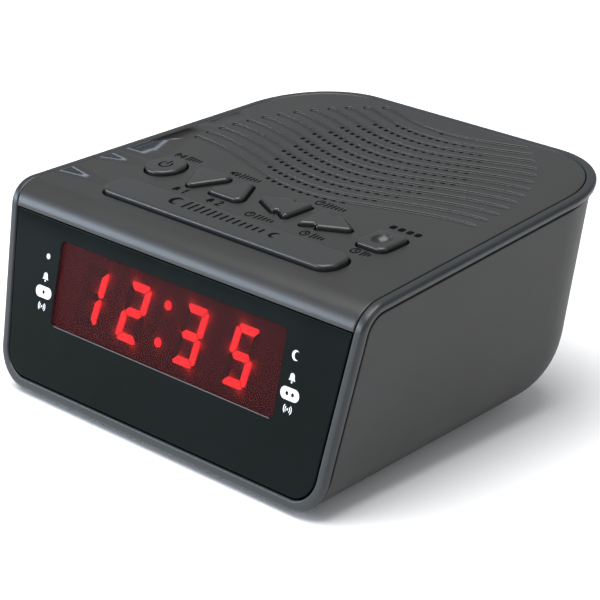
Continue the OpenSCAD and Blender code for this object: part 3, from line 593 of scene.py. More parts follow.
def thickened(mesh, wall, edge_r):
    """A closed shell from an open sheet: the sheet, the sheet moved in by the wall, and along every
    border a quarter round of radius edge_r, a flat edge and the inner wall. Returned as Surfaces."""
    points = np.array([v.co for v in mesh.vertices])
    points = (points - ORIGIN) / MM
    corners = [np.array([p.vertices[:] for p in mesh.polygons if len(p.vertices) == n]) for n in (3, 4)]
    corners = [f for f in corners if len(f)]
    normal = normals_of(points, corners)
    pairs = np.concatenate([
        np.stack([f[:, k], f[:, (k + 1) % f.shape[1]]], 1) for f in corners for k in range(f.shape[1])
    ])
    code = pairs[:, 0] * len(points) + pairs[:, 1]
    back = pairs[:, 1] * len(points) + pairs[:, 0]
    border = pairs[~np.isin(code, back)]
    ahead = np.zeros_like(points)
    way = unit(points[border[:, 1]] - points[border[:, 0]])
    np.add.at(ahead, border[:, 0], way)
    np.add.at(ahead, border[:, 1], way)
    on_border = np.unique(border)
    out = np.zeros_like(points)
    out[on_border] = unit(np.cross(unit(ahead[on_border]), normal[on_border]))
    made = Surfaces()
    for f in corners:
        made.add(points, f)
        made.add(points - wall * normal, f[:, ::-1])
    turn = np.radians(np.linspace(0, 90, 5))
    steps = [(edge_r * math.sin(a), edge_r * (1 - math.cos(a))) for a in turn]
    steps += [(edge_r, wall), (0.0, wall)]
    rings = np.array([points + s * out - d * normal for s, d in steps])
    for near, far in zip(rings[:-1], rings[1:]):
        quad = np.stack([near[border[:, 0]], near[border[:, 1]], far[border[:, 1]], far[border[:, 0]]], 1)
        made.add(quad, np.arange(len(border) * 4).reshape(-1, 4))
    return made


def base_loops(grow=0.0):
    """Openings in the base, as loops seen from above: the battery door's and the vents."""
    door = np.array([[DOOR_X, DOOR_Y[1]], [-DOOR_X, DOOR_Y[1]], [-DOOR_X, DOOR_Y[0]], [DOOR_X, DOOR_Y[0]]])
    loops = [outline(door, DOOR_GAP + grow, steps=3)]
    for i in range(-3, 4):
        middle = (i * VENT_PITCH, VENT_Y + VENT_LEN / 2)
        loops.append(outline(box_corners(VENT_W, VENT_LEN, 0.9 - 0.05, middle), 0.85 + grow, steps=5))
    return loops


def make_cabinet():
    """The cabinet's outer sheet is the two side grids, the heel's grid, the rear wall and the base with
    its openings; the sheet is then given its wall and its rounded edges."""
    half = cabinet_sections(CABINET_TOP + SHARP_EDGE)
    flip = np.array([-1, 1, 1])
    sheet = Surfaces()
    sheet.grid(half)
    sheet.grid((half * flip)[:, ::-1])
    q, _ = section_rows(CABINET_TOP + SHARP_EDGE)
    heel = int(np.argmin(abs(q - (Q_END - HEEL_R))))
    across = np.linspace(1, -1, 13)[:, None]
    under = half[heel:, 0][:, None] * np.array([0, 1, 1])
    under = under + half[heel:, 0, 0][:, None, None] * (across * [1, 0, 0])
    sheet.grid(under)
    wall_side = half[-1, 16:]
    rear = wall_side[:, None] * np.array([0, 1, 1]) + wall_side[:, 0][:, None, None] * (across * [1, 0, 0])
    gland = rear_wall_with_gland(rear)
    sheet.add(*gland)
    right = half[:heel + 1, 0, :2]
    left = right * [-1, 1]
    front = np.stack([np.linspace(left[0, 0], right[0, 0], 13), np.full(13, right[0, 1])], 1)
    back = np.stack([np.linspace(right[-1, 0], left[-1, 0], 13), np.full(13, right[-1, 1])], 1)
    rim = np.concatenate([front[:-1], right[:-1], back[:-1], left[:0:-1]])
    points, faces = filled([rim] + base_loops(SHARP_EDGE))
    sheet.add(at_base(points[:, 0], points[:, 1]), faces)
    return merged(sheet)


def rear_wall_with_gland(rear):
    """The rear wall between the two rear corners: its border's own points, and the gland's hole."""
    border = np.concatenate([rear[0, :-1], rear[:-1, -1], rear[-1, ::-1][:-1], rear[::-1, 0][:-1]])
    flat = border[:, [0, 2]]
    rise = 1 / math.cos(REAR_LEAN)
    hole = circle(GLAND_R + 0.1 + SHARP_EDGE, steps=40) * [1, 1 / rise] + [GLAND_X, GLAND_Z]
    points, faces = filled([flat, hole])
    y = Q_END + points[:, 1] * lean_at(Q_END)
    return np.stack([points[:, 0], y, points[:, 1]], 1), faces


def without(mesh, cutter):
    """The first mesh less the room of the second, an exact difference."""
    objects = [bpy.data.objects.new("cut", m) for m in (mesh, cutter)]
    for obj in objects:
        bpy.context.scene.collection.objects.link(obj)
    difference = objects[0].modifiers.new("cut", "BOOLEAN")
    difference.operation = "DIFFERENCE"
    difference.solver = "EXACT"
    difference.object = objects[1]
    bpy.context.view_layer.update()
    evaluated = objects[0].evaluated_get(bpy.context.evaluated_depsgraph_get())
    result = bpy.data.meshes.new_from_object(evaluated)
    for obj in objects:
        bpy.data.objects.remove(obj)
    return result


def make_shell():
    """The cabinet as a piece."""
    shell = thickened(make_cabinet(), WALL, SHARP_EDGE)
    wells = Surfaces()
    for x, y in SCREW_PLACES:
        for s in (-1, 1):
            profile = [(0.0, -3.0), (3.2, -3.0), (3.2, 8.0), (0.0, 8.0)]
            turned(wells, profile, lambda a, b, h, x=s * x, y=y: at_base(x + a, y + b, h), 40)
    shell = without(merged(shell), merged(wells))
    piece("cabinet_shell", shell, "body", SIDE_GREY, ["cabinet"], sharp=40)


# ---- Top cover --------------------------------------------------------------------------------

COVER_IN = RIM_W + 0.12
SEAM_GAP = 0.12
COVER_EDGE = 0.3
GROOVE_W, GROOVE_DEPTH, GROOVE_PITCH, GROOVE_COUNT = 1.9, 0.5, 4.21, 13
GROOVE_FIRST, GROOVE_SWING, GROOVE_SPAN = 51.2, 9.84, 51.0
GROOVE_CIRCLE_Y, GROOVE_CIRCLE_R = 63.2, 50.9
HOLE_D, HOLE_PITCH, SPEAKER_Y, SPEAKER_HOLE_R = 1.4, 2.7, 76.1, 27.4

KEY_AT = {
    "power": (-39.0, 40.9), "volume_down": (-24.4, 41.8), "volume_up": (-11.9, 40.0),
    "tuning_down": (4.6, 41.3), "tuning_up": (21.8, 40.7), "preset": (39.8, 40.3), "snooze": (0.9, 24.4),
}
ARROW = np.array([
    [6.6, -0.3], [-0.1, 3.1], [-0.2, 1.2], [-5.6, 3.4], [-5.2, -4.1], [-0.6, -1.6], [-0.4, -3.3],
])


def key_loop(name, grow):
    """A key's outline in the top's plane, grown by a distance."""
    at = np.array(KEY_AT[name])
    if name == "power":
        return circle(5.3 + grow, at, 64)
    if name in ("volume_down", "volume_up"):
        way = 1 if name == "volume_down" else -1
        corners = np.array([[0, -4.4], [4.1, 2.4], [-4.1, 2.4]]) * [1, way]
        return outline(at + (corners if way > 0 else corners[::-1]), 1.6 + grow, steps=9)
    if name in ("tuning_down", "tuning_up"):
        way = 1 if name == "tuning_up" else -1
        corners = ARROW * [way, 1]
        return outline(at + (corners if way > 0 else corners[::-1]), 0.8 + grow, 1.6)
    if name == "preset":
        return outline(box_corners(9.6, 9.4, 2, at), 2 + grow, steps=9)
    return outline(box_corners(83, 9.4, 4, at), 4 + grow, steps=12)


def groove_y(k, x):
    """Line of groove k: a raised cosine, lowest at the middle."""
    return GROOVE_FIRST + k * GROOVE_PITCH + GROOVE_SWING * (1 - np.cos(math.pi * x / GROOVE_SPAN)) / 2


def groove_end(k):
    """Where groove k meets the circle that ends the grooves."""
    x = 40.0
    for _ in range(12):
        x = math.sqrt(GROOVE_CIRCLE_R ** 2 - (groove_y(k, x) - GROOVE_CIRCLE_Y) ** 2)
    return x


def groove_loop(k, half_width, round_steps=8):
    """A loop at half_width from the groove's line, round at both ends."""
    end = groove_end(k) - GROOVE_W / 2 - 0.3
    x = np.linspace(-end, end, 49)
    line = np.stack([x, groove_y(k, x)], 1)
    way = unit(np.gradient(line, axis=0))
    side = np.stack([way[:, 1], -way[:, 0]], 1)
    angle = np.linspace(0, math.pi, round_steps + 1)[1:-1, None]
    right_cap = line[-1] + half_width * (np.cos(angle) * side[-1] + np.sin(angle) * way[-1])
    left_cap = line[0] - half_width * (np.cos(angle) * side[0] + np.sin(angle) * way[0])
    return np.concatenate([line + half_width * side, right_cap, (line - half_width * side)[::-1], left_cap])


def sound_holes(k):
    """Middles of the sound holes on groove k, inside the speaker's circle."""
    room = SPEAKER_HOLE_R ** 2 - (groove_y(k, 0.0) - SPEAKER_Y + 2) ** 2
    n = int(math.sqrt(max(0, room)) / HOLE_PITCH)
    x = np.arange(-n, n + 1) * HOLE_PITCH
    return np.stack([x, groove_y(k, x)], 1)


def cover_loop(inward):
    """The cover's outline in the unrolled surface, x and t, at a distance inside the edge loop."""
    keep = RIGHT_FLAT[:, 1] > FRONT_H + 1e-6
    right = RIGHT_FLAT[keep]
    right = right[:, :2] - inward * right[:, 2:]
    seam_t = FRONT_H + SEAM_GAP + inward - COVER_IN
    start = np.array([[edge_x(seam_t) - inward, seam_t]])
    right = np.concatenate([start, right])
    return np.concatenate([right, (right * [-1, 1])[-2::-1]])


def in_unrolled(loop):
    """A loop of the top's plane in x and t."""
    return np.stack([loop[:, 0], top_t(loop[:, 1])], 1)


def fillet_steps(r, steps=4):
    """Pairs of how far in and how deep along a quarter round, from the flat face to the wall."""
    a = np.linspace(0, math.pi / 2, steps + 1)
    return np.stack([r * (1 - np.sin(a)), r * (1 - np.cos(a))], 1)


def make_cover():
    """The cover's face is one triangulation in the unrolled surface, with rows along the bend. Its
    outline and key holes have rounded edges and walls; each groove is a profile with a round shoulder,
    a slanted wall and a round foot carried along its loop, and its floor has the sound holes."""
    cover = Surfaces()
    rows = []
    flat_in = COVER_IN + COVER_EDGE + 0.6
    edge_row = cover_loop(flat_in)
    for i in range(1, BEND_ROWS):
        rows.append(np.stack([edge_row[i], edge_row[-1 - i]]))
    key_edge, groove_edge, foot = 0.3, 0.3, 0.2
    holes = [in_unrolled(key_loop(name, KEY_GAP + key_edge)) for name in KEY_AT]
    grooves = [in_unrolled(groove_loop(k, GROOVE_W / 2 + groove_edge)) for k in range(GROOVE_COUNT)]
    points, faces = filled([edge_row] + holes + grooves, rows)
    cover.add(skin_point(points[:, 0], points[:, 1]), faces)
    rings = [skin_point(edge_row[:, 0], edge_row[:, 1])]
    for out, depth in fillet_steps(COVER_EDGE):
        loop = cover_loop(COVER_IN + out)
        rings.append(skin_point(loop[:, 0], loop[:, 1], depth))
    loop = cover_loop(COVER_IN)
    rings.append(skin_point(loop[:, 0], loop[:, 1], COVER_T))
    cover.grid(rings, close_columns=True)
    for name in KEY_AT:
        rings = []
        for out, depth in fillet_steps(key_edge):
            rings.append(on_top(*key_loop(name, KEY_GAP + out).T, depth))
        rings.append(on_top(*key_loop(name, KEY_GAP).T, COVER_T))
        cover.grid(rings, close_columns=True)
    sound = []
    for k in range(GROOVE_COUNT):
        rings = []
        for out, depth in fillet_steps(groove_edge):
            rings.append(on_top(*groove_loop(k, GROOVE_W / 2 + out).T, depth))
        for a in np.linspace(0, math.pi / 2, 5):
            inward = foot * (1 - math.cos(a))
            depth = GROOVE_DEPTH - foot * (1 - math.sin(a))
            rings.append(on_top(*groove_loop(k, GROOVE_W / 2 - inward).T, depth))
        cover.grid(rings, close_columns=True)
        holes_here = [circle(HOLE_D / 2, p, 14) for p in sound_holes(k)]
        sound += holes_here
        points, faces = filled([groove_loop(k, GROOVE_W / 2 - foot)] + holes_here)
        cover.add(on_top(points[:, 0], points[:, 1], GROOVE_DEPTH), faces)
        for loop in holes_here:
            cover.grid([on_top(*loop.T, d) for d in (GROOVE_DEPTH, COVER_T)], close_columns=True)
    under_holes = [in_unrolled(key_loop(name, KEY_GAP)) for name in KEY_AT]
    under_sound = [in_unrolled(loop) for loop in sound]
    under_edge = cover_loop(COVER_IN)
    under_rows = [np.stack([under_edge[i], under_edge[-1 - i]]) for i in range(1, BEND_ROWS)]
    points, faces = filled([under_edge] + under_holes + under_sound, under_rows)
    cover.add(skin_point(points[:, 0], points[:, 1], COVER_T), faces)
    posts = [(s * x, y) for x, y in SCREW_PLACES for s in (-1, 1)]
    for x, y in posts:
        top = TOP_Z + y * math.tan(RISE) - 1.6
        profile = [(1.3, 27.0), (4.2, 27.0), (4.2, top), (1.3, top), (1.3, 27.0)]
        turned(cover, profile, lambda a, b, h, x=x, y=y: at_base(x + a, y + b, h), 24)
    piece("top_cover_face", cover, "body", TOP_GREY, ["top_cover"], sharp=38)


# ---- Keys -------------------------------------------------------------------------------------

FLANGE_TOP, FLANGE_T, STEM_END = 2.1, 0.9, 6.0
KEY_EDGE, DIMPLE = 0.75, 1.3


def make_key(name, proud, flange):
    """A key: a cap with a rounded edge, a flange below the cover and a stem. The preset key's face
    sinks into a shallow round dimple, and the power key's face carries an engraved ring and bar."""
    key = Surfaces()
    face = key_loop(name, -KEY_EDGE)
    holes = []
    at = np.array(KEY_AT[name])
    if name == "preset":
        holes = [circle(2.7, at, 48)]
        rings = []
        for share in np.linspace(1, 0.04, 11):
            rings.append(on_top(*circle(2.7 * share, at, 48).T, -proud + DIMPLE * (1 - share ** 3)))
        key.grid(rings, close_columns=True)
        points, faces = filled([circle(2.7 * 0.04, at, 48)])
        key.add(on_top(points[:, 0], points[:, 1], -proud + DIMPLE * (1 - 0.04 ** 3)), faces)
    if name == "power":
        ring = arc_bar((at[0], at[1]), 1.7, -222, 42, 0.62)
        bar = arc_bar_line((at[0], at[1] + 0.3), (at[0], at[1] + 2.2), 0.62)
        holes = [ring, bar]
        for loop in holes:
            key.grid([on_top(*loop.T, -proud), on_top(*loop.T, -proud + 0.3)], close_columns=True)
            points, faces = filled([loop])
            key.add(on_top(points[:, 0], points[:, 1], -proud + 0.3), faces)
        make_marks("power_symbol", holes, on_top, 0.29 - proud, 0.15 - proud, "power_key",
                   LABEL_DARK)
    points, faces = filled([face] + holes)
    key.add(on_top(points[:, 0], points[:, 1], -proud), faces)
    rings = []
    for out, depth in fillet_steps(KEY_EDGE, 5):
        rings.append(on_top(*key_loop(name, -out).T, depth - proud))
    rings.append(on_top(*key_loop(name, 0).T, FLANGE_TOP))
    for depth in (FLANGE_TOP, FLANGE_TOP + FLANGE_T):
        rings.append(on_top(*key_loop(name, flange).T, depth))
    key.grid(rings, close_columns=True)
    points, faces = filled([key_loop(name, flange), circle(2.0, at, 24)])
    key.add(on_top(points[:, 0], points[:, 1], FLANGE_TOP + FLANGE_T), faces)
    stem = [(2.0, FLANGE_TOP + FLANGE_T), (2.0, STEM_END)]
    turned(key, stem, lambda a, b, h: on_top(at[0] + a, at[1] + b, h), 24)
    points, faces = filled([circle(2.0, at, 24)])
    key.add(on_top(points[:, 0], points[:, 1], STEM_END), faces)
    node = "snooze_bar" if name == "snooze" else name + "_button"
    piece(name + "_key", key, name + "_key", KEY_GREY, [node])


# ---- Small marks ------------------------------------------------------------------------------

def arc_bar(centre, r, a0, a1, width, steps=20):
    """A bar bent along an arc, with round ends."""
    a = np.radians(np.linspace(a0, a1, steps))
    way = np.stack([np.cos(a), np.sin(a)], 1)
    c, h = np.array(centre), width / 2
    turn = np.linspace(0, math.pi, 7)[1:-1, None]
    end_way = np.array([-math.sin(a[-1]), math.cos(a[-1])])
    start_way = np.array([math.sin(a[0]), -math.cos(a[0])])
    far_cap = c + way[-1] * r + h * (np.cos(turn) * way[-1] + np.sin(turn) * end_way)
    near_cap = c + way[0] * r + h * (-np.cos(turn) * way[0] + np.sin(turn) * start_way)
    return np.concatenate([c + way * (r + h), far_cap, (c + way * (r - h))[::-1], near_cap])


def arc_bar_line(start, end, width):
    """A straight bar with round ends."""
    start, end = np.array(start, float), np.array(end, float)
    way = unit(end - start)
    side = np.array([way[1], -way[0]]) * width / 2
    turn = np.linspace(0, math.pi, 7)[:, None]
    far = end + np.cos(turn) * side + np.sin(turn) * way * width / 2
    near = start - np.cos(turn) * side - np.sin(turn) * way * width / 2
    return np.concatenate([far, near])


def moon(at, r):
    """A crescent."""
    out = np.radians(np.linspace(50, 310, 25))
    inner = np.radians(np.linspace(295, 65, 20))
    outer_arc = np.stack([np.cos(out), np.sin(out)], 1) * r
    inner_arc = np.stack([np.cos(inner) * 0.78 + 0.42, np.sin(inner) * 0.78], 1) * r
    return [np.concatenate([outer_arc, inner_arc]) + at]


def bell(at, r):
    """A bell: a dome over a lip, and a clapper."""
    a = np.radians(np.linspace(0, 180, 13))
    dome = np.stack([np.cos(a) * 0.55, np.sin(a) * 0.55 + 0.3], 1)
    body = np.concatenate([[[0.85, -0.5], [0.6, -0.1]], dome, [[-0.6, -0.1], [-0.85, -0.5]]]) * r
    return [body + at, circle(0.2 * r, np.array(at) + [0, -0.8 * r], 12)]


def waves(at, r):
    """A dot with two arcs on each side, for radio."""
    loops = [circle(0.22 * r, at, 14)]
    for side in (0, 180):
        loops += [arc_bar(at, k * r, side - 42, side + 42, 0.2 * r, 10) for k in (0.62, 1.05)]
    return loops


def clock_face(at, r, hands=(90, 0)):
    """A ring with two hands."""
    loops = [arc_bar(at, 0.85 * r, -178, 178, 0.24 * r, 30)]
    for angle, length in zip(hands, (0.55, 0.4)):
        a = math.radians(angle)
        tip = np.array(at) + [length * r * math.cos(a), length * r * math.sin(a)]
        loops.append(arc_bar_line(at, tip, 0.2 * r))
    return loops


def horn(at, r):
    """A loudspeaker with two sound arcs, for volume."""
    x, y = at
    body = np.array([
        [-1.0, -0.32], [-0.55, -0.32], [0.0, -0.8], [0.0, 0.8], [-0.55, 0.32], [-1.0, 0.32],
    ]) * r + at
    return [body] + [arc_bar((x + 0.05 * r, y), k * r, -45, 45, 0.2 * r, 10) for k in (0.55, 0.95)]


def digit_one(at, h):
    """A plain figure one."""
    x, y = at
    return [arc_bar_line((x, y - h / 2), (x, y + h / 2), 0.22 * h),
            arc_bar_line((x - 0.2 * h, y + 0.3 * h), (x - 0.05 * h, y + 0.45 * h), 0.18 * h)]


def digit_two(at, h):
    """A plain figure two."""
    x, y = at
    a = np.radians(np.linspace(160, -40, 14))
    curve = np.stack([x + 0.24 * h * np.cos(a), y + 0.24 * h + 0.24 * h * np.sin(a)], 1)
    line = np.concatenate([curve, [[x - 0.24 * h, y - h / 2], [x + 0.3 * h, y - h / 2]]])
    return [arc_bar_line(p, q, 0.18 * h) for p, q in zip(line[:-1:2], line[2::2])] + [
        arc_bar_line(line[-3], line[-2], 0.18 * h), arc_bar_line(line[-2], line[-1], 0.18 * h)]


def ticks(at, width, count, height):
    """A row of short upright bars, each a little shorter than the last."""
    x = np.linspace(-width / 2, width / 2, count) + at[0]
    tall = height / 2 * np.linspace(1, 0.45, count)
    return [arc_bar_line((p, at[1] - q), (p, at[1] + q), 0.17 * height + 0.08) for p, q in zip(x, tall)]


def make_marks(name, loops, place, low, high, body, finish_mat):
    """A set of thin raised marks between two depths."""
    marks = Surfaces()
    for loop in loops:
        marks.prism([loop], place, low, high)
    return piece(name, marks, body, finish_mat)


# ---- Lens and display -------------------------------------------------------------------------

WINDOW_W, WINDOW_H, WINDOW_AT = 83.0, 22.0, (-0.6, 30.05)
LENS_INSET, LENS_T, LENS_EDGE, WINDOW_T = 0.15, 2.0, 0.35, 0.9
DIGIT_H, DIGIT_W, DIGIT_SLANT, SEGMENT_W, SEGMENT_T = 15.5, 8.4, math.radians(11.5), 2.1, 0.5
SEGMENT_GAP, SEGMENT_CUT, SEGMENT_ROUND = 0.24, 1.35, 0.42
DIGIT_X = (-28.0, -11.7, 9.3, 27.4)
DISPLAY_AT = np.array([WINDOW_AT[0] - 0.7, WINDOW_AT[1] - 0.1])
SEGMENTS_DEPTH = LENS_INSET + WINDOW_T + 0.15
COLON_AT = ((0.15, 5.1), (-1.55, -4.6))
LIT = ("bc", "abged", "abgcd", "afgcd")


def lens_loop(inward):
    """The lens's outline in the front's plane: the front part of the edge loop moved inward, closed by
    a straight edge below the seam with the cover."""
    keep = RIGHT_FLAT[:, 1] < FRONT_H - 1
    right = RIGHT_FLAT[keep]
    right = right[:, :2] - inward * right[:, 2:]
    top = FRONT_H - 0.05 - (inward - RIM_W - LENS_GAP)
    right = np.concatenate([right, [[edge_x(top) - inward, top]]])
    return np.concatenate([right, (right * [-1, 1])[:0:-1]])


def make_lens():
    """The lens is a flat panel with a polished round edge and an opening that the red pane fills."""
    lens = Surfaces()
    window = outline(box_corners(WINDOW_W, WINDOW_H, 1.5, WINDOW_AT), 1.5)
    start = RIM_W + LENS_GAP
    points, faces = filled([lens_loop(start + LENS_EDGE), window])
    lens.add(on_front(points[:, 0], points[:, 1], LENS_INSET), faces)
    rings = []
    for out, depth in fillet_steps(LENS_EDGE, 5):
        rings.append(on_front(*lens_loop(start + out).T, LENS_INSET + depth))
    rings.append(on_front(*lens_loop(start).T, LENS_INSET + LENS_T))
    lens.grid(rings, close_columns=True)
    lens.grid([on_front(*window.T, d) for d in (LENS_INSET, LENS_INSET + LENS_T)], close_columns=True)
    points, faces = filled([lens_loop(start), window])
    lens.add(on_front(points[:, 0], points[:, 1], LENS_INSET + LENS_T), faces)
    piece("lens_panel", lens, "body", LENS_BLACK, ["front_lens"])


def make_window():
    """The red pane, with a fine bevel round its edge, and a lighter strip along its lower edge: a painted
    highlight of the light line that edge catches.
    """
    pane = Surfaces()
    bevel = 0.18
    loops = [outline(box_corners(WINDOW_W, WINDOW_H, 1.5, WINDOW_AT), 1.5 - grow) for grow in (0.06, bevel)]
    points, faces = filled([loops[1]])
    pane.add(on_front(points[:, 0], points[:, 1], LENS_INSET), faces)
    rings = [on_front(*loops[1].T, LENS_INSET), on_front(*loops[0].T, LENS_INSET + 0.1),
             on_front(*loops[0].T, LENS_INSET + WINDOW_T)]
    pane.grid(rings, close_columns=True)
    points, faces = filled([loops[0]])
    pane.add(on_front(points[:, 0], points[:, 1], LENS_INSET + WINDOW_T), faces)
    piece("window_pane", pane, "body", WINDOW_RED, ["display_window"])
    # A thin lighter strip along the pane's lower edge: a painted highlight of the light line the edge
    # catches.
    edge = Surfaces()
    low = WINDOW_AT[1] - WINDOW_H / 2
    left, right = (WINDOW_AT[0] + s * (WINDOW_W / 2 - 1.5) for s in (-1, 1))
    strip = arc_bar_line((left, low), (right, low), 0.26)
    edge.prism([strip], on_front, LENS_INSET + 0.1, LENS_INSET - 0.03)
    piece("pane_lower_edge_painted_highlight", edge, "body", PANE_EDGE_PAINTED_HIGHLIGHT)


def inset(corners, d):
    """A convex polygon, anticlockwise, with every side moved inward."""
    before, after = unit(corners - np.roll(corners, 1, 0)), unit(np.roll(corners, -1, 0) - corners)
    out_before, out_after = (np.stack([w[:, 1], -w[:, 0]], 1) for w in (before, after))
    share = 1 + (out_before * out_after).sum(1, keepdims=True)
    return corners - d * (out_before + out_after) / share


def segment_shapes():
    """The seven bars of a digit about its middle: trapezoids whose ends lie along the digit's diagonals,
    the digit's outer corners cut off, and a middle bar with pointed ends. All have round corners, and
    they lean with the digit."""
    w, x, y, cut = SEGMENT_W, DIGIT_W / 2, DIGIT_H / 2, SEGMENT_CUT
    h = SEGMENT_GAP / 2 * math.sqrt(2)
    top = [[-x + cut, y], [-x + cut / 2 + h / 2, y - cut / 2 + h / 2],
           [-x + w + h, y - w], [x - w - h, y - w],
           [x - cut / 2 - h / 2, y - cut / 2 + h / 2], [x - cut, y]]
    right = [[x, y - cut], [x - cut / 2 + h / 2, y - cut / 2 - h / 2],
             [x - w, y - w - h], [x - w, w / 2 + h],
             [x - w / 2, h], [x - 0.25, 0.3 + h], [x, 0.9]]
    m = x - w / 2 - h
    middle = [[m, 0], [m - w / 2, w / 2], [-m + w / 2, w / 2],
              [-m, 0], [-m + w / 2, -w / 2], [m - w / 2, -w / 2]]
    top, right, middle = np.array(top), np.array(right), np.array(middle)
    shapes = {"a": top, "d": (top * [1, -1])[::-1], "b": right, "c": (right * [1, -1])[::-1],
              "f": (right * [-1, 1])[::-1], "e": right * -1, "g": middle}
    lean = np.array([[1, 0], [math.tan(DIGIT_SLANT), 1]])
    made = {}
    for k, loop in shapes.items():
        made[k] = outline(inset(loop, SEGMENT_ROUND), SEGMENT_ROUND, steps=4) @ lean
    return made


def make_display():
    """The four digits and the colon: bars that are lit to read 12:35 and bars that are not, and the
    display's face behind them with a painted red glow that fades with distance from the lit bars."""
    shapes = segment_shapes()
    lit, dark = Surfaces(), Surfaces()
    glow_points = []
    for x, names in zip(DIGIT_X, LIT):
        for name, shape in shapes.items():
            loop = shape + DISPLAY_AT + [x, 0]
            part = lit if name in names else dark
            face = SEGMENTS_DEPTH + (0 if part is lit else 0.27)
            part.prism([loop], on_front, SEGMENTS_DEPTH + SEGMENT_T, face)
            if name in names:
                s = np.linspace(0, 1, 7)[:, None]
                a, b = loop[0], loop[len(loop) // 2]
                glow_points.append(a * (1 - s) + b * s)
    for p in COLON_AT:
        at = DISPLAY_AT + p
        lit.prism([circle(1.2, at, 24)], on_front, SEGMENTS_DEPTH + SEGMENT_T, SEGMENTS_DEPTH)
        glow_points.append(np.array([at]))
    piece("segments_lit", lit, "body", LIT_RED, ["display_segments"])
    piece("segments_unlit", dark, "body", DIM_RED)
    sources = np.concatenate(glow_points)
    x = np.linspace(-WINDOW_W / 2 + 0.12, WINDOW_W / 2 - 0.12, 360) + WINDOW_AT[0]
    v = np.linspace(-WINDOW_H / 2 + 0.12, WINDOW_H / 2 - 0.12, 100) + WINDOW_AT[1]
    x, v = (a for a in np.meshgrid(x, v, indexing="ij"))
    gap = np.hypot(x[..., None] - sources[:, 0], v[..., None] - sources[:, 1])
    # Painted glow on the face: red light round the lit bars that fades with distance, a faint even glow all
    # over, and a little more towards the left.
    glow = 0.016 + 0.42 * np.exp(-np.maximum(gap.min(-1) - 0.7, 0) / 0.75)
    glow += 0.030 * np.clip((WINDOW_AT[0] + 5 - x) / WINDOW_W, 0, 1)
    rise = np.zeros(x.shape)
    rise[[0, -1]] = rise[:, [0, -1]] = 1
    face_depth = (SEGMENTS_DEPTH + SEGMENT_T * 0.6) * (1 - rise) + (LENS_INSET + WINDOW_T + 0.02) * rise
    face = Surfaces()
    face.grid(on_front(x, v, face_depth))
    mesh = bpy.data.meshes.new("face")
    mesh.from_pydata(placed(np.concatenate(face.points)).tolist(), [], face.faces)
    value = mesh.attributes.new("glow", "FLOAT", "POINT")
    value.data.foreach_set("value", glow.ravel().astype(np.float32))
    mesh.validate()
    obj = piece("display_face", mesh, "body", DISPLAY_FACE_PAINTED_GLOW)
    thick = obj.modifiers.new("thickness", "SOLIDIFY")
    thick.thickness = 0.1 * MM
    thick.offset = -1.0


def make_legends():
    """White prints beside the window: a dot for the afternoon, bells, numbered pills and radio waves."""
    loops = []
    rows_left = ((35.8, "sun"), (30.5, "bell"), (26.5, "pill1"), (22.8, "waves"))
    rows_right = ((35.6, "moon"), (30.3, "bell"), (26.4, "pill2"), (22.8, "waves"))
    for x, rows in ((-46.4, rows_left), (44.9, rows_right)):
        for v, kind in rows:
            at = (x, v)
            if kind == "sun":
                loops += [[circle(0.7, at, 20)]]
            elif kind == "moon":
                loops += [[loop] for loop in moon(at, 1.25)]
            elif kind == "bell":
                loops += [[loop] for loop in bell(at, 1.3)]
            elif kind == "waves":
                loops += [[loop] for loop in waves(at, 1.25)]
            else:
                pill = outline(box_corners(6.2, 3.0, 1.49, at), 1.49, steps=10)
                steps = (0,) if kind == "pill1" else (-0.95, 0.95)
                dots = [circle(0.5, (x + step, v), 16) for step in steps]
                loops += [[pill] + dots]
    prints = Surfaces()
    for group in loops:
        prints.prism(group, on_front, LENS_INSET + 0.02, LENS_INSET - 0.03)
    piece("lens_legends", prints, "body", LEGEND_WHITE)


def make_labels():
    """Dark engraved-looking marks on the top: waves, a loudspeaker, a dial, a ring, clocks and bells
    beside the keys, and a crescent with a row of ticks on the snooze bar."""
    top = waves((-42.6, 49.1), 1.5) + ticks((-37.2, 49.1), 4.4, 5, 2.2)
    top += horn((-21.6, 49.1), 1.5) + ticks((-15.8, 49.1), 6.2, 6, 2.2)[::-1]
    top += clock_face((10.0, 48.7), 1.4, (60, 60)) + ticks((15.3, 48.7), 6.0, 6, 2.2)
    top += [outline(box_corners(1.8, 1.8, 0.5, (x, 48.7)), 0.5, steps=4) for x in (35.2, 38.0, 40.8, 43.4)]
    top += bell((-26.0, 33.2), 1.35) + digit_one((-22.6, 33.2), 2.3)
    top += bell((-13.2, 33.2), 1.35) + digit_two((-9.8, 33.2), 2.3)
    top += clock_face((1.4, 33.2), 1.4, (90, 90)) + ticks((6.6, 33.2), 5.2, 5, 2.2)
    top += clock_face((20.8, 33.2), 1.4, (90, 0)) + ticks((25.2, 33.2), 3.4, 4, 2.2)
    top += clock_face((38.0, 33.2), 1.4, (90, -30)) + ticks((41.6, 33.2), 2.0, 3, 2.2)
    make_marks("top_labels", top, on_top, 0.05, -0.06, "body", LABEL_DARK)
    bar = moon((-17.3, 25.7), 1.9) + ticks((0.4, 25.7), 27.0, 13, 3.4) + moon((18.2, 25.7), 1.4)
    make_marks("snooze_labels", bar, on_top, 0.05 - SNOOZE_PROUD, -0.06 - SNOOZE_PROUD,
               "snooze_key", LABEL_DARK)


# ---- Base, rear and inside --------------------------------------------------------------------

def make_feet():
    """Rubber feet: turned discs with rounded rims and a shallow dished face."""
    feet = Surfaces()
    r = 5.0
    profile = [(0.05, -1.3), (2.4, -1.32), (3.6, -1.5), (r - 0.5, -1.5), (r - 0.15, -1.35), (r, -1.0),
               (r, 0.4), (0.05, 0.4)]
    for x, y in FOOT_PLACES:
        for s in (-1, 1):
            turned(feet, profile, lambda a, b, h, x=s * x, y=y: at_base(x + a, y + b, h))
    piece("foot_discs", feet, "body", RUBBER, ["rubber_feet"])


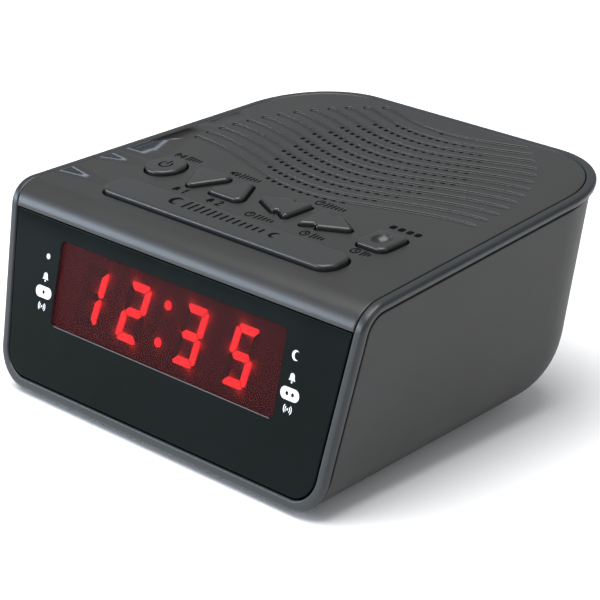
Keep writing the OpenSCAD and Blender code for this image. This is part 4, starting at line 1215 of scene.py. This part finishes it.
def make_door():
    """The battery door: a plate with rounded edges, finger ridges and its latch slot."""
    door = Surfaces()
    size = (2 * DOOR_X, DOOR_Y[1] - DOOR_Y[0])
    at = (0, sum(DOOR_Y) / 2)
    edge = 0.3
    loop = lambda grow: outline(box_corners(size[0], size[1], 1.0, at), 1.0 + grow)
    slot_loop = outline(box_corners(12.0, 1.2, 0.55, (0, DOOR_Y[1] - 2.4)), 0.55)
    points, faces = filled([loop(-edge), slot_loop])
    door.add(at_base(points[:, 0], points[:, 1], 0.0), faces)
    rings = [at_base(*loop(-out).T, depth) for out, depth in fillet_steps(edge)]
    rings.append(at_base(*loop(0).T, 2.0))
    door.grid(rings, close_columns=True)
    points, faces = filled([loop(0), slot_loop])
    door.add(at_base(points[:, 0], points[:, 1], 2.0), faces)
    door.grid([at_base(*slot_loop.T, z) for z in (0.0, 2.0)], close_columns=True)
    for i in range(-2, 3):
        ridge = arc_bar_line((-5, DOOR_Y[1] - 8 + i * 1.4), (5, DOOR_Y[1] - 8 + i * 1.4), 0.6)
        door.prism([ridge], at_base, 0.02, -0.35)
    arrow = outline([[0, 36.0], [2.2, 33.4], [-2.2, 33.4]][::-1], 0.3, steps=3)
    door.prism([arrow], at_base, 0.02, -0.2)
    for s in (-1, 1):
        hook = outline(box_corners(8, 4, 0.3, (s * 16, DOOR_Y[0])), 0.3, steps=3)
        door.prism([hook], at_base, 1.9, 3.2)
    piece("door_plate", door, "door", SIDE_GREY, ["battery_door"], sharp=40)


def make_screws():
    """The four cabinet screws: a turned head with a cross recess, and a shank."""
    screws = Surfaces()
    for x, y in SCREW_PLACES:
        for s in (-1, 1):
            px = s * x
            cross = np.array([
                [0.4, 0.4], [0.4, 1.7], [-0.4, 1.7], [-0.4, 0.4], [-1.7, 0.4], [-1.7, -0.4],
                [-0.4, -0.4], [-0.4, -1.7], [0.4, -1.7], [0.4, -0.4], [1.7, -0.4], [1.7, 0.4],
            ]) + [px, y]
            face = circle(2.5, (px, y), 40)
            points, faces = filled([face, cross])
            screws.add(at_base(points[:, 0], points[:, 1], 8.6), faces)
            screws.grid([at_base(*cross.T, z) for z in (8.6, 9.8)], close_columns=True)
            points, faces = filled([cross])
            screws.add(at_base(points[:, 0], points[:, 1], 9.8), faces)
            profile = [(2.5, 8.6), (2.72, 8.7), (2.8, 8.95), (2.8, 11.0), (1.3, 11.0), (1.3, 36.5),
                       (0.05, 37.0)]
            turned(screws, profile, lambda a, b, h, x=px, y=y: at_base(x + a, y + b, h))
    piece("screw_set", screws, "body", STEEL, ["cabinet_screws"])


def make_gland():
    """The cord outlet's bush in the rear wall: a turned collar with a rounded face and a bore."""
    rear_y = BODY_D - (REAR_TOP_Z - GLAND_Z) * math.tan(REAR_LEAN)
    out = np.array([0, math.cos(REAR_LEAN), -math.sin(REAR_LEAN)])
    up = np.array([0, math.sin(REAR_LEAN), math.cos(REAR_LEAN)])
    middle = np.array([GLAND_X, rear_y, GLAND_Z])

    def place(a, b, h):
        a, b, h = np.broadcast_arrays(a, b, h)
        return middle + a[..., None] * [1, 0, 0] + b[..., None] * up + h[..., None] * out

    bush = Surfaces()
    profile = [(2.2, -5.0), (4.5, -5.0), (4.5, 0.05), (6.0, 0.05), (6.0, 0.9), (5.8, 1.3), (5.3, 1.6),
               (3.0, 1.6), (2.4, 1.4), (2.2, 1.0), (2.2, -5.0)]
    turned(bush, profile, place)
    piece("cord_bush", bush, "body", BLACK_PART, ["cord_gland"])


def make_bay():
    """The battery bay inside the cabinet: four walls and a roof, and the posts that carry the screws."""
    bay = Surfaces()
    x, y0, y1, top = 27.0, 26.0, 52.0, 14.7
    inner = np.array([[x, y1], [-x, y1], [-x, y0], [x, y0]], float)
    outer = outline(inner, 2.3, steps=2)
    room = inner[[1, 2, 3, 0]]
    bay.prism([outer, room], at_base, 2.1, top)
    bay.prism([outer], at_base, top, top + 1.5)
    for px, py in SCREW_PLACES:
        for s in (-1, 1):
            profile = [(1.7, 10.9), (3.2, 10.9), (3.2, 6.6), (4.2, 6.6), (4.2, 27.0), (1.7, 27.0),
                       (1.7, 10.9)]
            turned(bay, profile, lambda a, b, h, x=s * px, y=py: at_base(x + a, y + b, h), 32)
    piece("battery_bay_walls", bay, "body", SIDE_GREY)


make_rim()
make_shell()
make_cover()
for name in KEY_AT:
    make_key(name, SNOOZE_PROUD if name == "snooze" else KEY_PROUD, 1.1 if "tuning" in name else 1.3)
make_lens()
make_window()
make_display()
make_legends()
make_labels()
make_feet()
make_door()
make_screws()
make_gland()
make_bay()

for part in frame["record"]["subparts"]:
    shape = frame["nodes"][part["node"]].data
    shape.materials.clear()
    shape.materials.append(SLOT_FINISHES[part["material_slot"]])

# ---- Floor, lights and camera -----------------------------------------------------------------

def make_floor():
    """A pale round sheet that the radio stands on, seen from above only."""
    mesh = bpy.data.meshes.new("floor")
    ring = np.pad(circle(1.6, (0.0, 0.1), 96), ((0, 0), (0, 1)))
    mesh.from_pydata(ring.tolist(), [], [list(range(96))])
    mat, nodes, links, shader, _ = finish("floor_pale", (0.9, 0.9, 0.9), 0.9, specular=0.1)
    faces_camera = nodes.new("ShaderNodeNewGeometry")
    clear = nodes.new("ShaderNodeBsdfTransparent")
    mix = nodes.new("ShaderNodeMixShader")
    links.new(faces_camera.outputs["Backfacing"], mix.inputs["Fac"])
    links.new(shader.outputs["BSDF"], mix.inputs[1])
    links.new(clear.outputs["BSDF"], mix.inputs[2])
    links.new(mix.outputs["Shader"], nodes["Material Output"].inputs["Surface"])
    mesh.materials.append(mat)
    floor = bpy.data.objects.new("floor", mesh)
    bpy.context.scene.collection.objects.link(floor)


def soft_light(name, azimuth, elevation, distance, size, power, colour=(1, 1, 1)):
    """A soft box that looks at the radio from an azimuth (0 in front, 90 on the right) and elevation."""
    data = bpy.data.lights.new(name, "AREA")
    data.shape = "RECTANGLE"
    data.size, data.size_y = size
    data.energy = power
    data.color = colour
    light = bpy.data.objects.new(name, data)
    bpy.context.scene.collection.objects.link(light)
    a, e = math.radians(azimuth), math.radians(elevation)
    way = Vector((math.sin(a) * math.cos(e), -math.cos(a) * math.cos(e), math.sin(e)))
    light.location = way * distance + Vector((0, 0, 0.03))
    light.rotation_euler = way.to_track_quat("Z", "Y").to_euler()


def make_lights():
    """A dim room, a large overhead box, a low box in front on the left and a fill on the right."""
    world = bpy.data.worlds.new("room")
    world.use_nodes = True
    world.node_tree.nodes["Background"].inputs["Color"].default_value = (0.93, 0.96, 1.0, 1)
    world.node_tree.nodes["Background"].inputs["Strength"].default_value = 0.45
    bpy.context.scene.world = world
    soft_light("overhead", -20, 76, 0.9, (0.9, 0.9), 15.0)
    soft_light("front_left", -45, 15, 0.9, (0.8, 0.14), 5.6, (0.72, 0.85, 1.0))
    soft_light("right", 95, 25, 0.9, (0.5, 0.5), 1.0)


def make_camera():
    """The camera looks from the front right and above, through a long lens."""
    yaw, pitch, distance = math.radians(46.917), math.radians(20.602), 641.8
    back = np.array([math.sin(yaw) * math.cos(pitch), -math.cos(yaw) * math.cos(pitch), math.sin(pitch)])
    right = np.array([math.cos(yaw), math.sin(yaw), 0.0])
    up = np.cross(back, right)
    spot = np.array([0.0, 55.0, 32.0]) + back * distance - right * 4.079 - up * 8.018
    data = bpy.data.cameras.new("camera")
    data.lens = 152.9
    data.sensor_width = 36.0
    data.shift_x, data.shift_y = 4.8145 / 600, 1.4517 / 600
    data.clip_start, data.clip_end = 0.01, 20
    camera = bpy.data.objects.new("camera", data)
    bpy.context.scene.collection.objects.link(camera)
    camera.location = placed(spot)
    camera.rotation_mode = "QUATERNION"
    camera.rotation_quaternion = Vector(back).to_track_quat("Z", "Y")
    bpy.context.scene.camera = camera


make_floor()
make_lights()
make_camera()
bpy.context.scene.view_settings.view_transform = "Standard"
